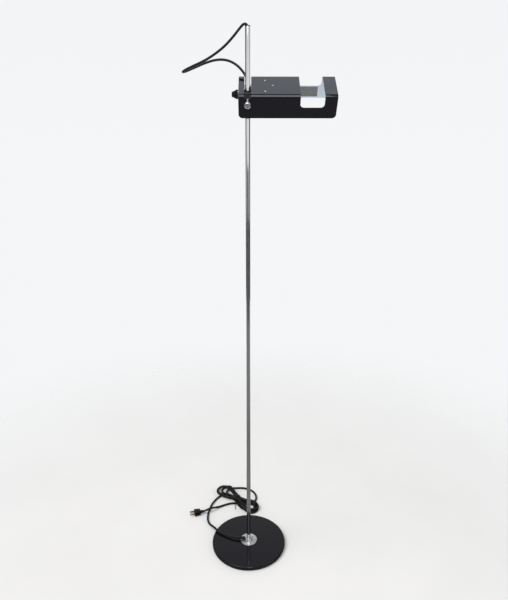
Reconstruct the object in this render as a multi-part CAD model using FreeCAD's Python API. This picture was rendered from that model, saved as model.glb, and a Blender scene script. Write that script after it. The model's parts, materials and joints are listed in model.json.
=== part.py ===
"""Adjustable reading floor lamp: a sheet-metal head clamped on a chromed stem, on a heavy disc base.

Millimetres, +Z up. The origin is the centre of the base's underside, on the stem's axis. +X is the
head's long direction, and -Y is the side that the head's clamp knob faces.
"""

import FreeCAD, Part
import math
import os

V = FreeCAD.Vector
UP = V(0, 0, 1)
X_AXIS = V(1, 0, 0)
Y_AXIS = V(0, 1, 0)
ORIGIN = V(0, 0, 0)

# --- base ---
BASE_R = 114.0
BASE_TOP = 12.0
BASE_EDGE_R = 3.0
BASE_SHEET = 1.6
PAD_THICK = 1.8
NUT_RECESS_R = 16.0
NUT_RECESS_TOP = 8.4
WEIGHT_SCREW_RING = 70.0
FIT_GAP = 0.05
SMALL_GAP = 0.1

# --- hub on the base ---
FLANGE_R = 26.0
FLANGE_STEP_R = 19.5
FLANGE_TOP = 14.2
BOSS_R = 12.5
BOSS_TOP = 24.0
CORD_HOLE_Z = 19.0
CORD_HOLE_R = 4.2

# --- stem ---
STEM_R = 6.0
STEM_BORE_R = 5.0
STEM_BOTTOM = 2.6
STEM_TOP = 1476.2
LEAD_R = 2.5

# --- head joint ---
PIVOT_Z = 1327.4
TILT_DEG = 34.0
CORE_R = 9.5
CORE_LEFT = -22.0
CORE_RIGHT = 17.5
CORE_FLAT = 8.0
RING_THICK = 3.0
GLAND_GAP = 1.5
CHEEK_INNER = 9.3
CHEEK_LEFT = -20.9
CHEEK_RIGHT = 15.5
CHEEK_FRONT = -16.0
CHEEK_BACK = 14.0
CHEEK_BOTTOM = -14.0
BRIDGE_FRONT = -37.2
BRIDGE_BACK = -21.0
BRIDGE_BOTTOM = -8.0
BRIDGE_CORNER = 6.2
RIB_FRONT = -30.2
RIB_BACK = -20.6
KNOB_AXIS_Z = 7.1
NUT_FRONT = -31.0
NUT_BACK = -26.8
NUT_HALF = 3.8
YOKE_LOW = -3.0
YOKE_HIGH = 10.6
YOKE_BACK = -17.6
YOKE_ARM_END = -10.0
YOKE_HALF = 13.2

# --- head shell, in the head's own frame with the pivot axis as origin ---
HEAD_LEFT = -22.3
HEAD_LENGTH = 237.0
HEAD_WIDTH = 97.0
HEAD_DEPTH = 58.5
HEAD_FRONT = -39.0
HEAD_TOP = 18.0
SHEET = 1.5
BEND_R = 8.0
WALL_CORNER_R = 10.0
WINDOW_LEFT = 148.5
WINDOW_RIGHT = 206.5
WINDOW_DEPTH = 30.5
WINDOW_BACK_DEPTH = 27.0
WINDOW_CORNER_R = 9.0
SLOT_HALF = 8.4
SLOT_BACK_DEPTH = 30.0
NOTCH_DEPTH = 6.5

# --- lampholder and bulb, along X in the head's frame ---
LAMP_Y = 9.5
LAMP_Z = -14.0
BRACKET_X = 32.0
BRACKET_THICK = 1.5
BRACKET_OUTLINE = ((32.0, -25.0), (46.0, -25.0), (67.0, 2.0), (67.0, 15.0), (46.0, 39.0), (32.0, 39.0))
SCREW_PLACES = ((42.2, -18.4), (42.2, 32.6), (60.5, 8.5))
HOLDER_END = 80.0
BULB_R = 22.5
BULB_END = 124.0
PLATE_LEFT = 118.5
PLATE_RIGHT = 176.0
PLATE_LOW = -36.4
PLATE_HIGH = -10.4

# --- cords ---
ARC_SHARE = 0.45
MAINS_R = 3.25
HEAD_CORD_R = 3.0
FLOOR_Z = 3.4

# The mains cord from the hub's grommet, over the base's edge and along the floor to the hank.
MAINS_ROUTE = (
    (-38.0, 0.0, 19.0),
    (-55.5, 5.0, 18.2),
    (-76.0, 14.5, 16.8),
    (-96.0, 28.0, 17.6),
    (-112.5, 45.5, 19.2),
    (-123.5, 62.5, 12.8),
    (-132.0, 79.0, 5.2),
    (-138.2, 97.0, FLOOR_Z),
    (-140.2, 119.0, FLOOR_Z),
    (-138.4, 140.0, FLOOR_Z),
    (-134.8, 160.5, FLOOR_Z),
    (-129.2, 181.0, FLOOR_Z),
    (-119.0, 202.5, FLOOR_Z),
    (-104.5, 221.5, FLOOR_Z),
)

# The plug's cord, from the plug's boot over the mains cord and into the hank.
PLUG_ROUTE = (
    (-150.2, 136.4, 9.4),
    (-143.2, 138.2, 12.4),
    (-132.8, 143.0, 14.4),
    (-120.5, 151.8, 9.8),
    (-107.5, 161.2, 4.6),
    (-93.0, 169.8, FLOOR_Z),
    (-77.5, 177.6, FLOOR_Z),
    (-60.0, 183.4, FLOOR_Z),
    (-42.0, 181.4, 4.4),
)

# The loose loop of cord between the stem's top and the head.
HEAD_CORD_ROUTE = (
    (0.0, 0.0, 1469.2),
    (0.0, 0.0, 1479.2),
    (-8.3, 0.3, 1482.6),
    (-17.5, 1.0, 1473.7),
    (-33.5, 3.0, 1455.2),
    (-54.8, 6.0, 1434.4),
    (-79.5, 9.5, 1417.4),
    (-104.0, 14.0, 1404.2),
    (-130.5, 19.5, 1394.0),
    (-153.5, 28.0, 1385.4),
    (-163.5, 45.0, 1381.6),
    (-154.5, 62.0, 1386.8),
    (-130.0, 70.0, 1398.0),
    (-104.0, 69.0, 1408.0),
    (-78.0, 63.0, 1413.8),
    (-53.0, 54.0, 1412.0),
    (-31.5, 43.0, 1402.0),
    (-15.5, 32.5, 1387.0),
    (-4.5, 22.5, 1371.0),
    (1.8, 15.0, 1357.0),
    (4.0, 12.8, 1347.6),
)

# --- hank of mains cord behind the base ---
HANK_X = -42.0
HANK_Y = 199.5
HANK_TURN_DEG = -41.0
HANK_WAIST_HALF = 10.4
HANK_WAIST_TOP = 21.0
HANK_TOP = 20.0
HANK_BOTTOM = 0.4
HANK_OUTLINE = (
    (-105.0, 24.0, 2.0),
    (-92.0, 35.0, -17.0),
    (-56.0, 35.0, -27.0),
    (-24.0, 27.0, -24.0),
    (-8.0, 10.4, -10.4),
    (8.0, 10.4, -10.4),
    (28.0, 22.0, -22.0),
    (62.0, 28.0, -28.0),
    (90.0, 14.0, -14.0),
)
TIE_TAIL_ROUTE = (
    (-49.2, 191.8, 9.6),
    (-49.0, 183.0, 10.4),
    (-48.6, 171.0, 4.6),
    (-48.2, 162.5, 2.0),
    (-47.6, 153.5, 1.5),
)
TIE_TAIL_R = 1.2

# The one loose turn of the hank, which bulges out on its far side.
LOOSE_TURN_ROUTE = (
    (-85.0, 249.0, 9.0),
    (-71.0, 259.5, 8.0),
    (-52.0, 266.0, 6.0),
    (-30.5, 268.5, 4.4),
    (-9.0, 265.0, FLOOR_Z),
    (10.0, 253.5, FLOOR_Z),
    (23.0, 236.0, FLOOR_Z),
    (27.5, 214.0, 4.4),
    (22.0, 192.5, 7.0),
)

# --- plug ---
PLUG_BACK = (-166.0, 132.5)
PLUG_TURN_DEG = 194.0
PLUG_Z = 8.6
PLUG_LONG = 21.0
PLUG_WIDE = 22.0
PLUG_HIGH = 16.6
BLADE_PITCH = 12.7


def save(name, shape):
    """Writes one sub-part as parts/NAME.step."""
    shape.exportStep("parts/" + name + ".step")
    print(f"{name}: {len(shape.Solids)} solid(s), {shape.Volume / 1000:.2f} cm3, valid {shape.isValid()}")


def rod(radius, start, end):
    """A round rod between two points."""
    a = V(*start)
    b = V(*end)
    return Part.makeCylinder(radius, (b - a).Length, a, b - a)


def block(low, high):
    """A box between its lowest and highest corners."""
    return Part.makeBox(high[0] - low[0], high[1] - low[1], high[2] - low[2], V(*low))


def turned(profile, base=ORIGIN, axis=UP):
    """A solid of revolution about an axis, from an outline of (radius, height) points."""
    outline = [V(radius, 0, height) for radius, height in (*profile, profile[0])]
    solid = Part.Face(Part.makePolygon(outline)).revolve(ORIGIN, UP, 360)
    solid.Placement = FreeCAD.Placement(base, FreeCAD.Rotation(UP, axis))
    return solid


def prism(points, thick, lift):
    """A flat outline in X and Y, raised from lift by thick."""
    wire = Part.makePolygon([V(x, y, lift) for x, y in (*points, points[0])])
    return Part.Face(wire).extrude(V(0, 0, thick))


def in_head(shape):
    """Moves a shape from the head's own frame to its place on the stem, tilted as the lamp rests."""
    head = FreeCAD.Placement(V(0, 0, PIVOT_Z), FreeCAD.Rotation(X_AXIS, TILT_DEG))
    shape = shape.copy()
    shape.Placement = head.multiply(shape.Placement)
    return shape


def along_edges(shape, direction, where):
    """The straight edges of a shape that run along a direction and whose middle passes a test."""
    found = []
    for edge in shape.Edges:
        if edge.Curve.TypeId != "Part::GeomLine":
            continue
        run = edge.Vertexes[-1].Point - edge.Vertexes[0].Point
        if abs(abs(run.normalize().dot(direction)) - 1) < 1e-6 and where(edge.CenterOfMass):
            found.append(edge)
    return found


def rounded_path(name, route):
    """Straight runs joined by tangent arcs, each as large as its two runs allow; prints the radii."""
    points = [V(*p) for p in route]
    edges = []
    radii = []
    last = points[0]
    for before, corner, after in zip(points, points[1:], points[2:]):
        back = before - corner
        on = after - corner
        reach = ARC_SHARE * min(back.Length, on.Length)
        turn = math.pi - back.getAngle(on)
        radius = reach / math.tan(turn / 2)
        start = corner + back.normalize() * reach
        end = corner + on.normalize() * reach
        middle_way = (start + end) * 0.5 - corner
        middle = corner + middle_way.normalize() * (radius / math.cos(turn / 2) - radius)
        edges.append(Part.LineSegment(last, start).toShape())
        edges.append(Part.Arc(start, middle, end).toShape())
        radii.append(radius)
        last = end
    edges.append(Part.LineSegment(last, points[-1]).toShape())
    wire = Part.Wire(edges)
    print(f"{name}: {wire.Length:.0f} mm long, arc radii " + ", ".join(f"{r:.0f}" for r in radii))
    return wire


def cord(name, route, radius):
    """A round cord along a route; prints how its volume compares with its section times its length."""
    path = rounded_path(name, route)
    first = V(*route[0])
    circle = Part.Wire(Part.makeCircle(radius, first, V(*route[1]) - first))
    solid = path.makePipeShell([circle], True, False)
    solid = solid.Solids[0] if solid.Solids else Part.makeSolid(solid)
    share = solid.Volume / (math.pi * radius**2 * path.Length)
    print(f"{name}: volume over section times length {share:.4f}")
    return solid


def base_parts():
    """The lacquered cover, its iron weight, the felt under it and the screws that hold the weight."""
    cover = Part.makeCylinder(BASE_R, BASE_TOP - PAD_THICK, V(0, 0, PAD_THICK))
    top_edge = [e for e in cover.Edges if abs(e.CenterOfMass.z - BASE_TOP) < SMALL_GAP]
    cover = cover.makeFillet(BASE_EDGE_R, top_edge)
    inner_top = BASE_TOP - BASE_SHEET
    cover = cover.cut(Part.makeCylinder(BASE_R - BASE_SHEET, inner_top - PAD_THICK, V(0, 0, PAD_THICK)))
    cover = cover.cut(Part.makeCylinder(STEM_R + FIT_GAP, BASE_TOP * 2))
    save("base_cover", cover)

    weight_r = BASE_R - BASE_SHEET - 0.4
    weight_top = inner_top - SMALL_GAP
    weight = Part.makeCylinder(weight_r, weight_top - PAD_THICK, V(0, 0, PAD_THICK))
    weight = weight.makeChamfer(1.6, [e for e in weight.Edges if e.CenterOfMass.z > weight_top - 0.1])
    weight = weight.cut(Part.makeCylinder(STEM_R + 0.3, BASE_TOP * 2))
    weight = weight.cut(Part.makeCylinder(NUT_RECESS_R, NUT_RECESS_TOP - PAD_THICK, V(0, 0, PAD_THICK)))
    screws = []
    for k in range(3):
        angle = math.radians(90 + 120 * k)
        place = V(math.cos(angle), math.sin(angle), 0) * WEIGHT_SCREW_RING + V(0, 0, PAD_THICK + 0.4)
        weight = weight.cut(Part.makeCylinder(4.2, 2.8, V(place.x, place.y, PAD_THICK)))
        weight = weight.cut(Part.makeCylinder(2.05, BASE_TOP, V(place.x, place.y, 0)))
        head = Part.makeCylinder(4.0, 2.2, place)
        shank = Part.makeCylinder(2.0, weight_top - place.z, place)
        slot = block((-4.5, -0.5, -1), (4.5, 0.5, 0.9))
        slot.translate(place)
        screws.append(head.fuse(shank).cut(slot))
    save("base_weight", weight)
    save("weight_screws", Part.makeCompound(screws))
    save("base_felt", Part.makeCylinder(BASE_R - 3.0, PAD_THICK))


def hexagon(across, low, high, bore):
    """A hexagonal nut about the Z axis."""
    corner = across / math.sqrt(3)
    angles = [math.radians(60 * k) for k in range(6)]
    points = [(corner * math.cos(angle), corner * math.sin(angle)) for angle in angles]
    return prism(points, high - low, low).cut(Part.makeCylinder(bore, high - low + 2, V(0, 0, low - 1)))


def hub_parts():
    """The chromed flange and boss round the stem's foot, the nut below and the mains cord's grommet."""
    bore = STEM_R + FIT_GAP
    flange = turned(
        [
            (bore, BASE_TOP),
            (FLANGE_R, BASE_TOP),
            (FLANGE_R, BASE_TOP + 0.7),
            (FLANGE_R - 0.9, BASE_TOP + 1.4),
            (FLANGE_STEP_R + 0.8, BASE_TOP + 1.4),
            (FLANGE_STEP_R, FLANGE_TOP),
            (bore, FLANGE_TOP),
        ]
    )
    save("hub_flange", flange)

    boss = turned(
        [
            (bore, FLANGE_TOP),
            (BOSS_R, FLANGE_TOP),
            (BOSS_R, BOSS_TOP - 2.2),
            (BOSS_R - 0.7, BOSS_TOP - 0.7),
            (BOSS_R - 2.2, BOSS_TOP),
            (bore, BOSS_TOP),
        ]
    )
    boss = boss.cut(rod(CORD_HOLE_R, (-BOSS_R - 2, 0, CORD_HOLE_Z), (0, 0, CORD_HOLE_Z)))
    boss = boss.cut(rod(2.0, (0, 0, CORD_HOLE_Z), (0, BOSS_R + 2, CORD_HOLE_Z)))
    save("hub_boss", boss)

    grub = rod(1.95, (0, STEM_R + 0.1, CORD_HOLE_Z), (0, BOSS_R - 0.6, CORD_HOLE_Z))
    socket = rod(1.0, (0, BOSS_R - 2.6, CORD_HOLE_Z), (0, BOSS_R, CORD_HOLE_Z))
    save("boss_grub_screw", grub.cut(socket))

    washer = Part.makeCylinder(13.0, 1.2, V(0, 0, 7.1))
    save("stem_washer", washer.cut(Part.makeCylinder(bore, 4, V(0, 0, 6))))
    save("stem_nut", hexagon(19.0, STEM_BOTTOM, 7.0, bore))

    root_r = CORD_HOLE_R - FIT_GAP
    relief = [(0, 0), (root_r, 0), (root_r, 5.0), (4.6, 5.3), (4.6, 8.0)]
    for k in range(4):
        start = 8.0 + 4.6 * k
        radius = 4.55 - 0.13 * k
        relief += [(radius - 0.5, start + 0.5), (radius - 0.5, start + 1.5)]
        relief += [(radius, start + 2.0), (radius - 0.1, start + 4.6)]
    relief += [(3.9, 30.3), (0, 30.3)]
    grommet = turned(relief, V(-7.7, 0, CORD_HOLE_Z), V(-1, 0, 0))
    save("cord_grommet", grommet)


def stem_parts():
    """The chromed tube, the lead inside it and the bush that turns in its top."""
    tube = Part.makeCylinder(STEM_R, STEM_TOP - STEM_BOTTOM, V(0, 0, STEM_BOTTOM))
    tube = tube.cut(Part.makeCylinder(STEM_BORE_R, STEM_TOP, V(0, 0, STEM_BOTTOM - 1)))
    tube = tube.cut(rod(LEAD_R + 0.5, (-STEM_R - 1, 0, CORD_HOLE_Z), (0, 0, CORD_HOLE_Z)))
    save("stem_tube", tube)

    lead_route = ((-7.6, 0, CORD_HOLE_Z), (0, 0, CORD_HOLE_Z), (0, 0, STEM_TOP - 12))
    save("stem_lead", cord("stem_lead", lead_route, LEAD_R))

    bush_r = STEM_BORE_R - FIT_GAP
    bore = HEAD_CORD_R + FIT_GAP
    bush = turned(
        [
            (bore, STEM_TOP - 9.0),
            (bush_r, STEM_TOP - 9.0),
            (bush_r, STEM_TOP + 0.1),
            (STEM_R + 0.7, STEM_TOP + 0.1),
            (STEM_R + 0.7, STEM_TOP + 1.0),
            (STEM_R - 0.4, STEM_TOP + 1.9),
            (bore, STEM_TOP + 1.9),
        ]
    )
    save("stem_top_bush", bush)
    save("head_cord", cord("head_cord", HEAD_CORD_ROUTE, HEAD_CORD_R))


def carriage_parts():
    """The moulded core that slides and turns on the stem, with its rings, cord gland, stud and circlip."""
    centre = V(0, 0, PIVOT_Z)
    core = Part.makeCylinder(CORE_R, CORE_RIGHT - CORE_LEFT, centre + V(CORE_LEFT, 0, 0), X_AXIS)
    core = core.cut(Part.makeCylinder(STEM_R + FIT_GAP, 4 * CORE_R, centre - V(0, 0, 2 * CORE_R)))
    flat_x = CORE_FLAT + 0.4
    for side in (1, -1):
        low = PIVOT_Z + (CORE_FLAT if side > 0 else -CORE_R - 1)
        core = core.cut(block((-flat_x, -CORE_R, low), (flat_x, CORE_R, low + CORE_R + 1 - CORE_FLAT)))
    core = core.cut(rod(2.9, (8.0, 0, PIVOT_Z), (CORE_RIGHT + 1, 0, PIVOT_Z)))
    core = core.cut(rod(3.0, (CORE_LEFT - 1, 0, PIVOT_Z), (-9.0, 0, PIVOT_Z)))
    groove_x = CHEEK_RIGHT + 0.35
    groove = Part.makeCylinder(CORE_R + 1, 1.0, centre + V(groove_x, 0, 0), X_AXIS)
    core = core.cut(groove.cut(Part.makeCylinder(CORE_R - 1.2, 1.0, centre + V(groove_x, 0, 0), X_AXIS)))
    save("joint_core", core)

    rings = []
    for low in (PIVOT_Z + CORE_FLAT, PIVOT_Z - CORE_FLAT - RING_THICK):
        ring = Part.makeCylinder(CORE_FLAT, RING_THICK, V(0, 0, low))
        rings.append(ring.cut(Part.makeCylinder(STEM_R + FIT_GAP, 4, V(0, 0, low - 1))))
    save("core_rings", Part.makeCompound(rings))

    circlip = Part.makeCylinder(CORE_R + 1.4, 0.9, centre + V(groove_x + 0.05, 0, 0), X_AXIS)
    circlip = circlip.cut(Part.makeCylinder(CORE_R - 1.15, 3, centre + V(groove_x - 1, 0, 0), X_AXIS))
    circlip = circlip.cut(block((groove_x - 1, -3, PIVOT_Z - 2 * CORE_R), (groove_x + 2, 3, PIVOT_Z)))
    save("core_circlip", circlip)

    stud = rod(2.95, (-20.0, 0, PIVOT_Z), (-35.0, 0, PIVOT_Z))
    save("core_stud", stud)

    end = V(*HEAD_CORD_ROUTE[-1])
    gland_top = PIVOT_Z + 8.6
    gland = block((-4.6, 3.0, PIVOT_Z - 8.0), (7.9, 16.8, gland_top))
    corners = along_edges(gland, UP, lambda c: c.y > 10)
    gland = gland.makeFillet(3.0, corners)
    gland = gland.cut(Part.makeCylinder(CORE_R + FIT_GAP / 2, 60, centre - V(30, 0, 0), X_AXIS))
    gland = gland.cut(block((-20, 0, PIVOT_Z - 20), (20, CORE_FLAT + 0.1, PIVOT_Z + 20)))
    boot = Part.makeCone(3.9, 3.4, end.z - GLAND_GAP - gland_top, V(end.x, end.y, gland_top))
    save("core_gland", gland.fuse(boot).removeSplitter())


def rounded_plate(low, high, corner, keep):
    """A box whose edges along Y are rounded where keep says so."""
    plate = block(low, high)
    return plate.makeFillet(corner, along_edges(plate, Y_AXIS, keep))


def shell_part():
    """The folded sheet head: a top and two walls, open below and at both ends, with a window and a slot."""
    right = HEAD_LEFT + HEAD_LENGTH
    back = HEAD_FRONT + HEAD_WIDTH
    bottom = HEAD_TOP - HEAD_DEPTH
    outer = block((HEAD_LEFT, HEAD_FRONT, bottom), (right, back, HEAD_TOP))
    outer = outer.makeFillet(BEND_R, along_edges(outer, X_AXIS, lambda c: c.z > HEAD_TOP - 1))
    inner_top = HEAD_TOP - SHEET
    inner = block((HEAD_LEFT - 1, HEAD_FRONT + SHEET, bottom - 1), (right + 1, back - SHEET, inner_top))
    inner = inner.makeFillet(BEND_R - SHEET, along_edges(inner, X_AXIS, lambda c: c.z > inner_top - 1))
    shell = outer.cut(inner)
    sides = rounded_plate(
        (HEAD_LEFT, HEAD_FRONT - 1, bottom),
        (right, back + 1, HEAD_TOP + 1),
        WALL_CORNER_R,
        lambda c: c.z < bottom + 1,
    )
    shell = shell.common(sides)
    middle = HEAD_FRONT + HEAD_WIDTH / 2
    for near, far, depth in ((HEAD_FRONT - 1, middle, WINDOW_DEPTH), (middle, back + 1, WINDOW_BACK_DEPTH)):
        floor = HEAD_TOP - depth
        window = rounded_plate(
            (HEAD_LEFT + WINDOW_LEFT, near, floor),
            (HEAD_LEFT + WINDOW_RIGHT, far, HEAD_TOP + 1),
            WINDOW_CORNER_R,
            lambda c: c.z < HEAD_TOP - WINDOW_BACK_DEPTH + 1,
        )
        shell = shell.cut(window)
    back_slot = rounded_plate(
        (-SLOT_HALF, 0, HEAD_TOP - SLOT_BACK_DEPTH),
        (SLOT_HALF, back + 1, HEAD_TOP + 1),
        SLOT_HALF - 0.25,
        lambda c: c.z < HEAD_TOP - SLOT_BACK_DEPTH + 1,
    )
    front_slot = block((-SLOT_HALF, HEAD_FRONT - 1, HEAD_TOP - NOTCH_DEPTH), (SLOT_HALF, 1, HEAD_TOP + 1))
    shell = shell.cut(back_slot).cut(front_slot)
    shell = shell.cut(rod(2.7, (0, HEAD_FRONT - 1, KNOB_AXIS_Z), (0, HEAD_FRONT + SHEET + 1, KNOB_AXIS_Z)))
    for x, y in SCREW_PLACES:
        shell = shell.cut(Part.makeCylinder(1.6, 4, V(x, y, HEAD_TOP - 2)))
    save("head_shell", in_head(shell))


def cradle_parts():
    """The moulded cradle that holds the core in the head, its pressure yoke, and both knobs' hardware."""
    roof = HEAD_TOP - SHEET - SMALL_GAP
    cradle = block((CHEEK_LEFT, CHEEK_FRONT, CHEEK_BOTTOM), (-CHEEK_INNER, CHEEK_BACK, roof))
    cradle = cradle.fuse(block((CHEEK_INNER, CHEEK_FRONT, CHEEK_BOTTOM), (CHEEK_RIGHT, CHEEK_BACK, roof)))
    for left, right in ((CHEEK_LEFT, -CHEEK_INNER), (CHEEK_INNER, CHEEK_RIGHT)):
        cradle = cradle.fuse(block((left, BRIDGE_BACK - 1, BRIDGE_BOTTOM), (right, CHEEK_FRONT + 1, roof)))
    bridge = block((CHEEK_LEFT, BRIDGE_FRONT, BRIDGE_BOTTOM), (CHEEK_RIGHT, BRIDGE_BACK, roof))
    top_front = along_edges(bridge, X_AXIS, lambda c: c.z > roof - 1 and c.y < BRIDGE_FRONT + 1)
    bridge = bridge.makeChamfer(BRIDGE_CORNER, top_front)
    rib_half = SLOT_HALF - 0.15
    rib = block((-rib_half, RIB_FRONT, KNOB_AXIS_Z), (rib_half, RIB_BACK, HEAD_TOP - 0.3))
    rib = rib.makeChamfer(0.6, along_edges(rib, X_AXIS, lambda c: c.z > HEAD_TOP - 1))
    cradle = cradle.fuse(bridge).fuse(rib)
    cradle = cradle.cut(rod(CORE_R + FIT_GAP, (-40, 0, 0), (40, 0, 0)))
    cradle = cradle.cut(rod(2.6, (0, HEAD_FRONT - 1, KNOB_AXIS_Z), (0, BRIDGE_BACK + 1, KNOB_AXIS_Z)))
    for inner, outer in ((-CHEEK_INNER, -YOKE_HALF), (CHEEK_INNER, YOKE_HALF)):
        low = (min(inner * 0.95, outer * 1.03), BRIDGE_BACK, YOKE_LOW - 0.3)
        high = (max(inner * 0.95, outer * 1.03), 0, YOKE_HIGH + 0.3)
        cradle = cradle.cut(block(low, high))
    room = NUT_HALF + 0.4
    nut_gap = block((-room, NUT_FRONT, KNOB_AXIS_Z - room), (room, NUT_BACK, KNOB_AXIS_Z + room))
    save("joint_cradle", in_head(cradle.cut(nut_gap).removeSplitter()))

    nut_low = (-NUT_HALF, NUT_FRONT + 0.2, KNOB_AXIS_Z - NUT_HALF)
    nut_high = (NUT_HALF, NUT_BACK - 0.2, KNOB_AXIS_Z + NUT_HALF)
    nut = block(nut_low, nut_high)
    nut = nut.cut(rod(2.55, (0, -40, KNOB_AXIS_Z), (0, -20, KNOB_AXIS_Z)))
    save("clamp_nut", in_head(nut))

    yoke = block((-YOKE_HALF, BRIDGE_BACK + 0.4, YOKE_LOW), (YOKE_HALF, YOKE_BACK, YOKE_HIGH))
    arm_inner = CHEEK_INNER + 0.3
    for left in (-YOKE_HALF, arm_inner):
        arm_end = (left + YOKE_HALF - arm_inner, YOKE_ARM_END, YOKE_HIGH)
        yoke = yoke.fuse(block((left, YOKE_BACK - 0.4, YOKE_LOW), arm_end))
    save("pressure_yoke", in_head(yoke.removeSplitter()))

    wall = HEAD_FRONT
    toward = V(0, -1, 0)
    screw = rod(2.5, (0, BRIDGE_BACK - 0.2, KNOB_AXIS_Z), (0, wall - 8.0, KNOB_AXIS_Z))
    save("clamp_screw", in_head(screw))
    washer = [(2.75, 0.1), (6.0, 0.1), (6.0, 0.9), (5.5, 1.3), (2.75, 1.3)]
    save("clamp_washer", in_head(turned(washer, V(0, wall, KNOB_AXIS_Z), toward)))
    knob = turned(
        [
            (2.55, 1.6),
            (4.4, 1.6),
            (4.9, 2.2),
            (4.9, 5.4),
            (4.5, 7.6),
            (4.8, 10.0),
            (5.8, 13.4),
            (7.0, 17.2),
            (7.8, 20.8),
            (8.0, 23.2),
            (7.6, 25.2),
            (6.4, 26.7),
            (4.5, 27.6),
            (0, 27.9),
            (0, 8.1),
            (2.55, 8.1),
        ],
        V(0, wall, KNOB_AXIS_Z),
        toward,
    )
    save("clamp_knob", in_head(knob))

    outward = V(-1, 0, 0)
    ring = [(3.1, 0.2), (10.4, 0.2), (10.4, 1.0), (9.8, 1.6), (3.1, 1.6)]
    save("end_washer", turned(ring, V(HEAD_LEFT, 0, PIVOT_Z), outward))
    end_knob = turned(
        [
            (3.0, 1.9),
            (10.6, 1.9),
            (11.2, 2.6),
            (11.2, 4.2),
            (8.6, 9.6),
            (6.6, 13.6),
            (6.3, 15.6),
            (5.4, 16.4),
            (0, 16.6),
            (0, 13.0),
            (3.0, 13.0),
        ],
        V(HEAD_LEFT, 0, PIVOT_Z),
        outward,
    )
    for k in range(12):
        angle = math.radians(30 * k)
        centre = V(HEAD_LEFT, 12.4 * math.cos(angle), PIVOT_Z + 12.4 * math.sin(angle))
        end_knob = end_knob.cut(Part.makeCylinder(1.7, 20, centre, outward))
    save("end_knob", end_knob)


def lamp_parts():
    """The lampholder on its bracket, the bulb, the lead to it, and the blank plate on the far wall."""
    axis = V(0, LAMP_Y, LAMP_Z)

    def part(profile):
        return turned(profile, axis, X_AXIS)

    roof = HEAD_TOP - SHEET - SMALL_GAP
    plate_low = roof - BRACKET_THICK
    bracket = prism(BRACKET_OUTLINE, BRACKET_THICK, plate_low)
    upright_top = (BRACKET_X + BRACKET_THICK, LAMP_Y + 15.5, plate_low + 0.5)
    bracket = bracket.fuse(block((BRACKET_X, LAMP_Y - 15.5, LAMP_Z - 17.5), upright_top))
    bracket = bracket.cut(rod(4.6, (BRACKET_X - 2, LAMP_Y, LAMP_Z), (BRACKET_X + 4, LAMP_Y, LAMP_Z)))
    screws = []
    for x, y in SCREW_PLACES:
        bracket = bracket.cut(Part.makeCylinder(1.6, 6, V(x, y, plate_low - 2)))
        dome = turned([(0, 0), (2.7, 0), (2.5, 0.7), (1.8, 1.2), (0, 1.45)], V(x, y, HEAD_TOP))
        shank = Part.makeCylinder(1.5, HEAD_TOP - plate_low + 3.2, V(x, y, plate_low - 3.2))
        nut = Part.makeCylinder(2.9, 2.2, V(x, y, plate_low - 2.2))
        screws.append(dome.fuse(shank).fuse(nut).removeSplitter())
    save("lampholder_bracket", in_head(bracket.removeSplitter()))
    save("bracket_screws", in_head(Part.makeCompound(screws)))

    front = BRACKET_X + BRACKET_THICK
    save("holder_nipple", in_head(part([(3.0, 29.0), (4.5, 29.0), (4.5, 41.0), (3.0, 41.0)])))
    save("holder_locknut", in_head(part([(4.55, 29.6), (7.4, 29.6), (7.4, 31.9), (4.55, 31.9)])))
    shell = part(
        [
            (4.6, front + 0.1),
            (12.0, front + 0.1),
            (14.5, 36.0),
            (15.0, 44.0),
            (19.0, 51.0),
            (19.5, 53.0),
            (19.5, HOLDER_END - 1),
            (18.5, HOLDER_END),
            (17.2, HOLDER_END),
            (17.2, 53.5),
            (13.0, 46.0),
            (12.5, 38.0),
            (4.6, 36.5),
        ]
    )
    save("lampholder_body", in_head(shell))
    insert = part([(0, 50.5), (14.5, 50.5), (17.1, 54.0), (17.1, 58.0), (0, 58.0)])
    save("holder_insert", in_head(insert))
    thread_end = HOLDER_END - 1.5
    thread = [(14.0, 58.1), (14.6, 58.1), (14.6, thread_end), (14.0, thread_end)]
    save("screw_shell", in_head(part(thread)))
    save("centre_contact", in_head(part([(0, 58.1), (4.0, 58.1), (4.0, 58.8), (2.5, 60.4), (0, 60.6)])))

    cap = [(0, 61.0), (4.2, 61.0), (4.8, 62.6), (12.4, 66.0)]
    for k in range(4):
        cap += [(13.4, 67.2 + 3.4 * k), (12.7, 68.9 + 3.4 * k)]
    cap += [(13.2, 82.0), (0, 82.0)]
    save("bulb_cap", in_head(part(cap)))
    centre_x = BULB_END - BULB_R
    glass = [(0, 82.1), (12.6, 82.1), (13.6, 84.0)]
    for step in range(0, 19):
        angle = math.radians(142 - 142 * step / 18)
        glass.append((BULB_R * math.sin(angle), centre_x + BULB_R * math.cos(angle)))
    save("bulb_glass", in_head(part(glass[:-1] + [(0, BULB_END)])))

    route = ((8.6, 0, 0), (21.0, 0, 0), (24.5, LAMP_Y, LAMP_Z), (38.0, LAMP_Y, LAMP_Z))
    save("holder_lead", in_head(cord("holder_lead", route, 2.4)))

    wall = HEAD_FRONT + HEAD_WIDTH - SHEET
    plate = block((PLATE_LEFT, wall - 0.5, PLATE_LOW), (PLATE_RIGHT, wall - 0.05, PLATE_HIGH))
    save("blank_plate", in_head(plate))


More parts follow.
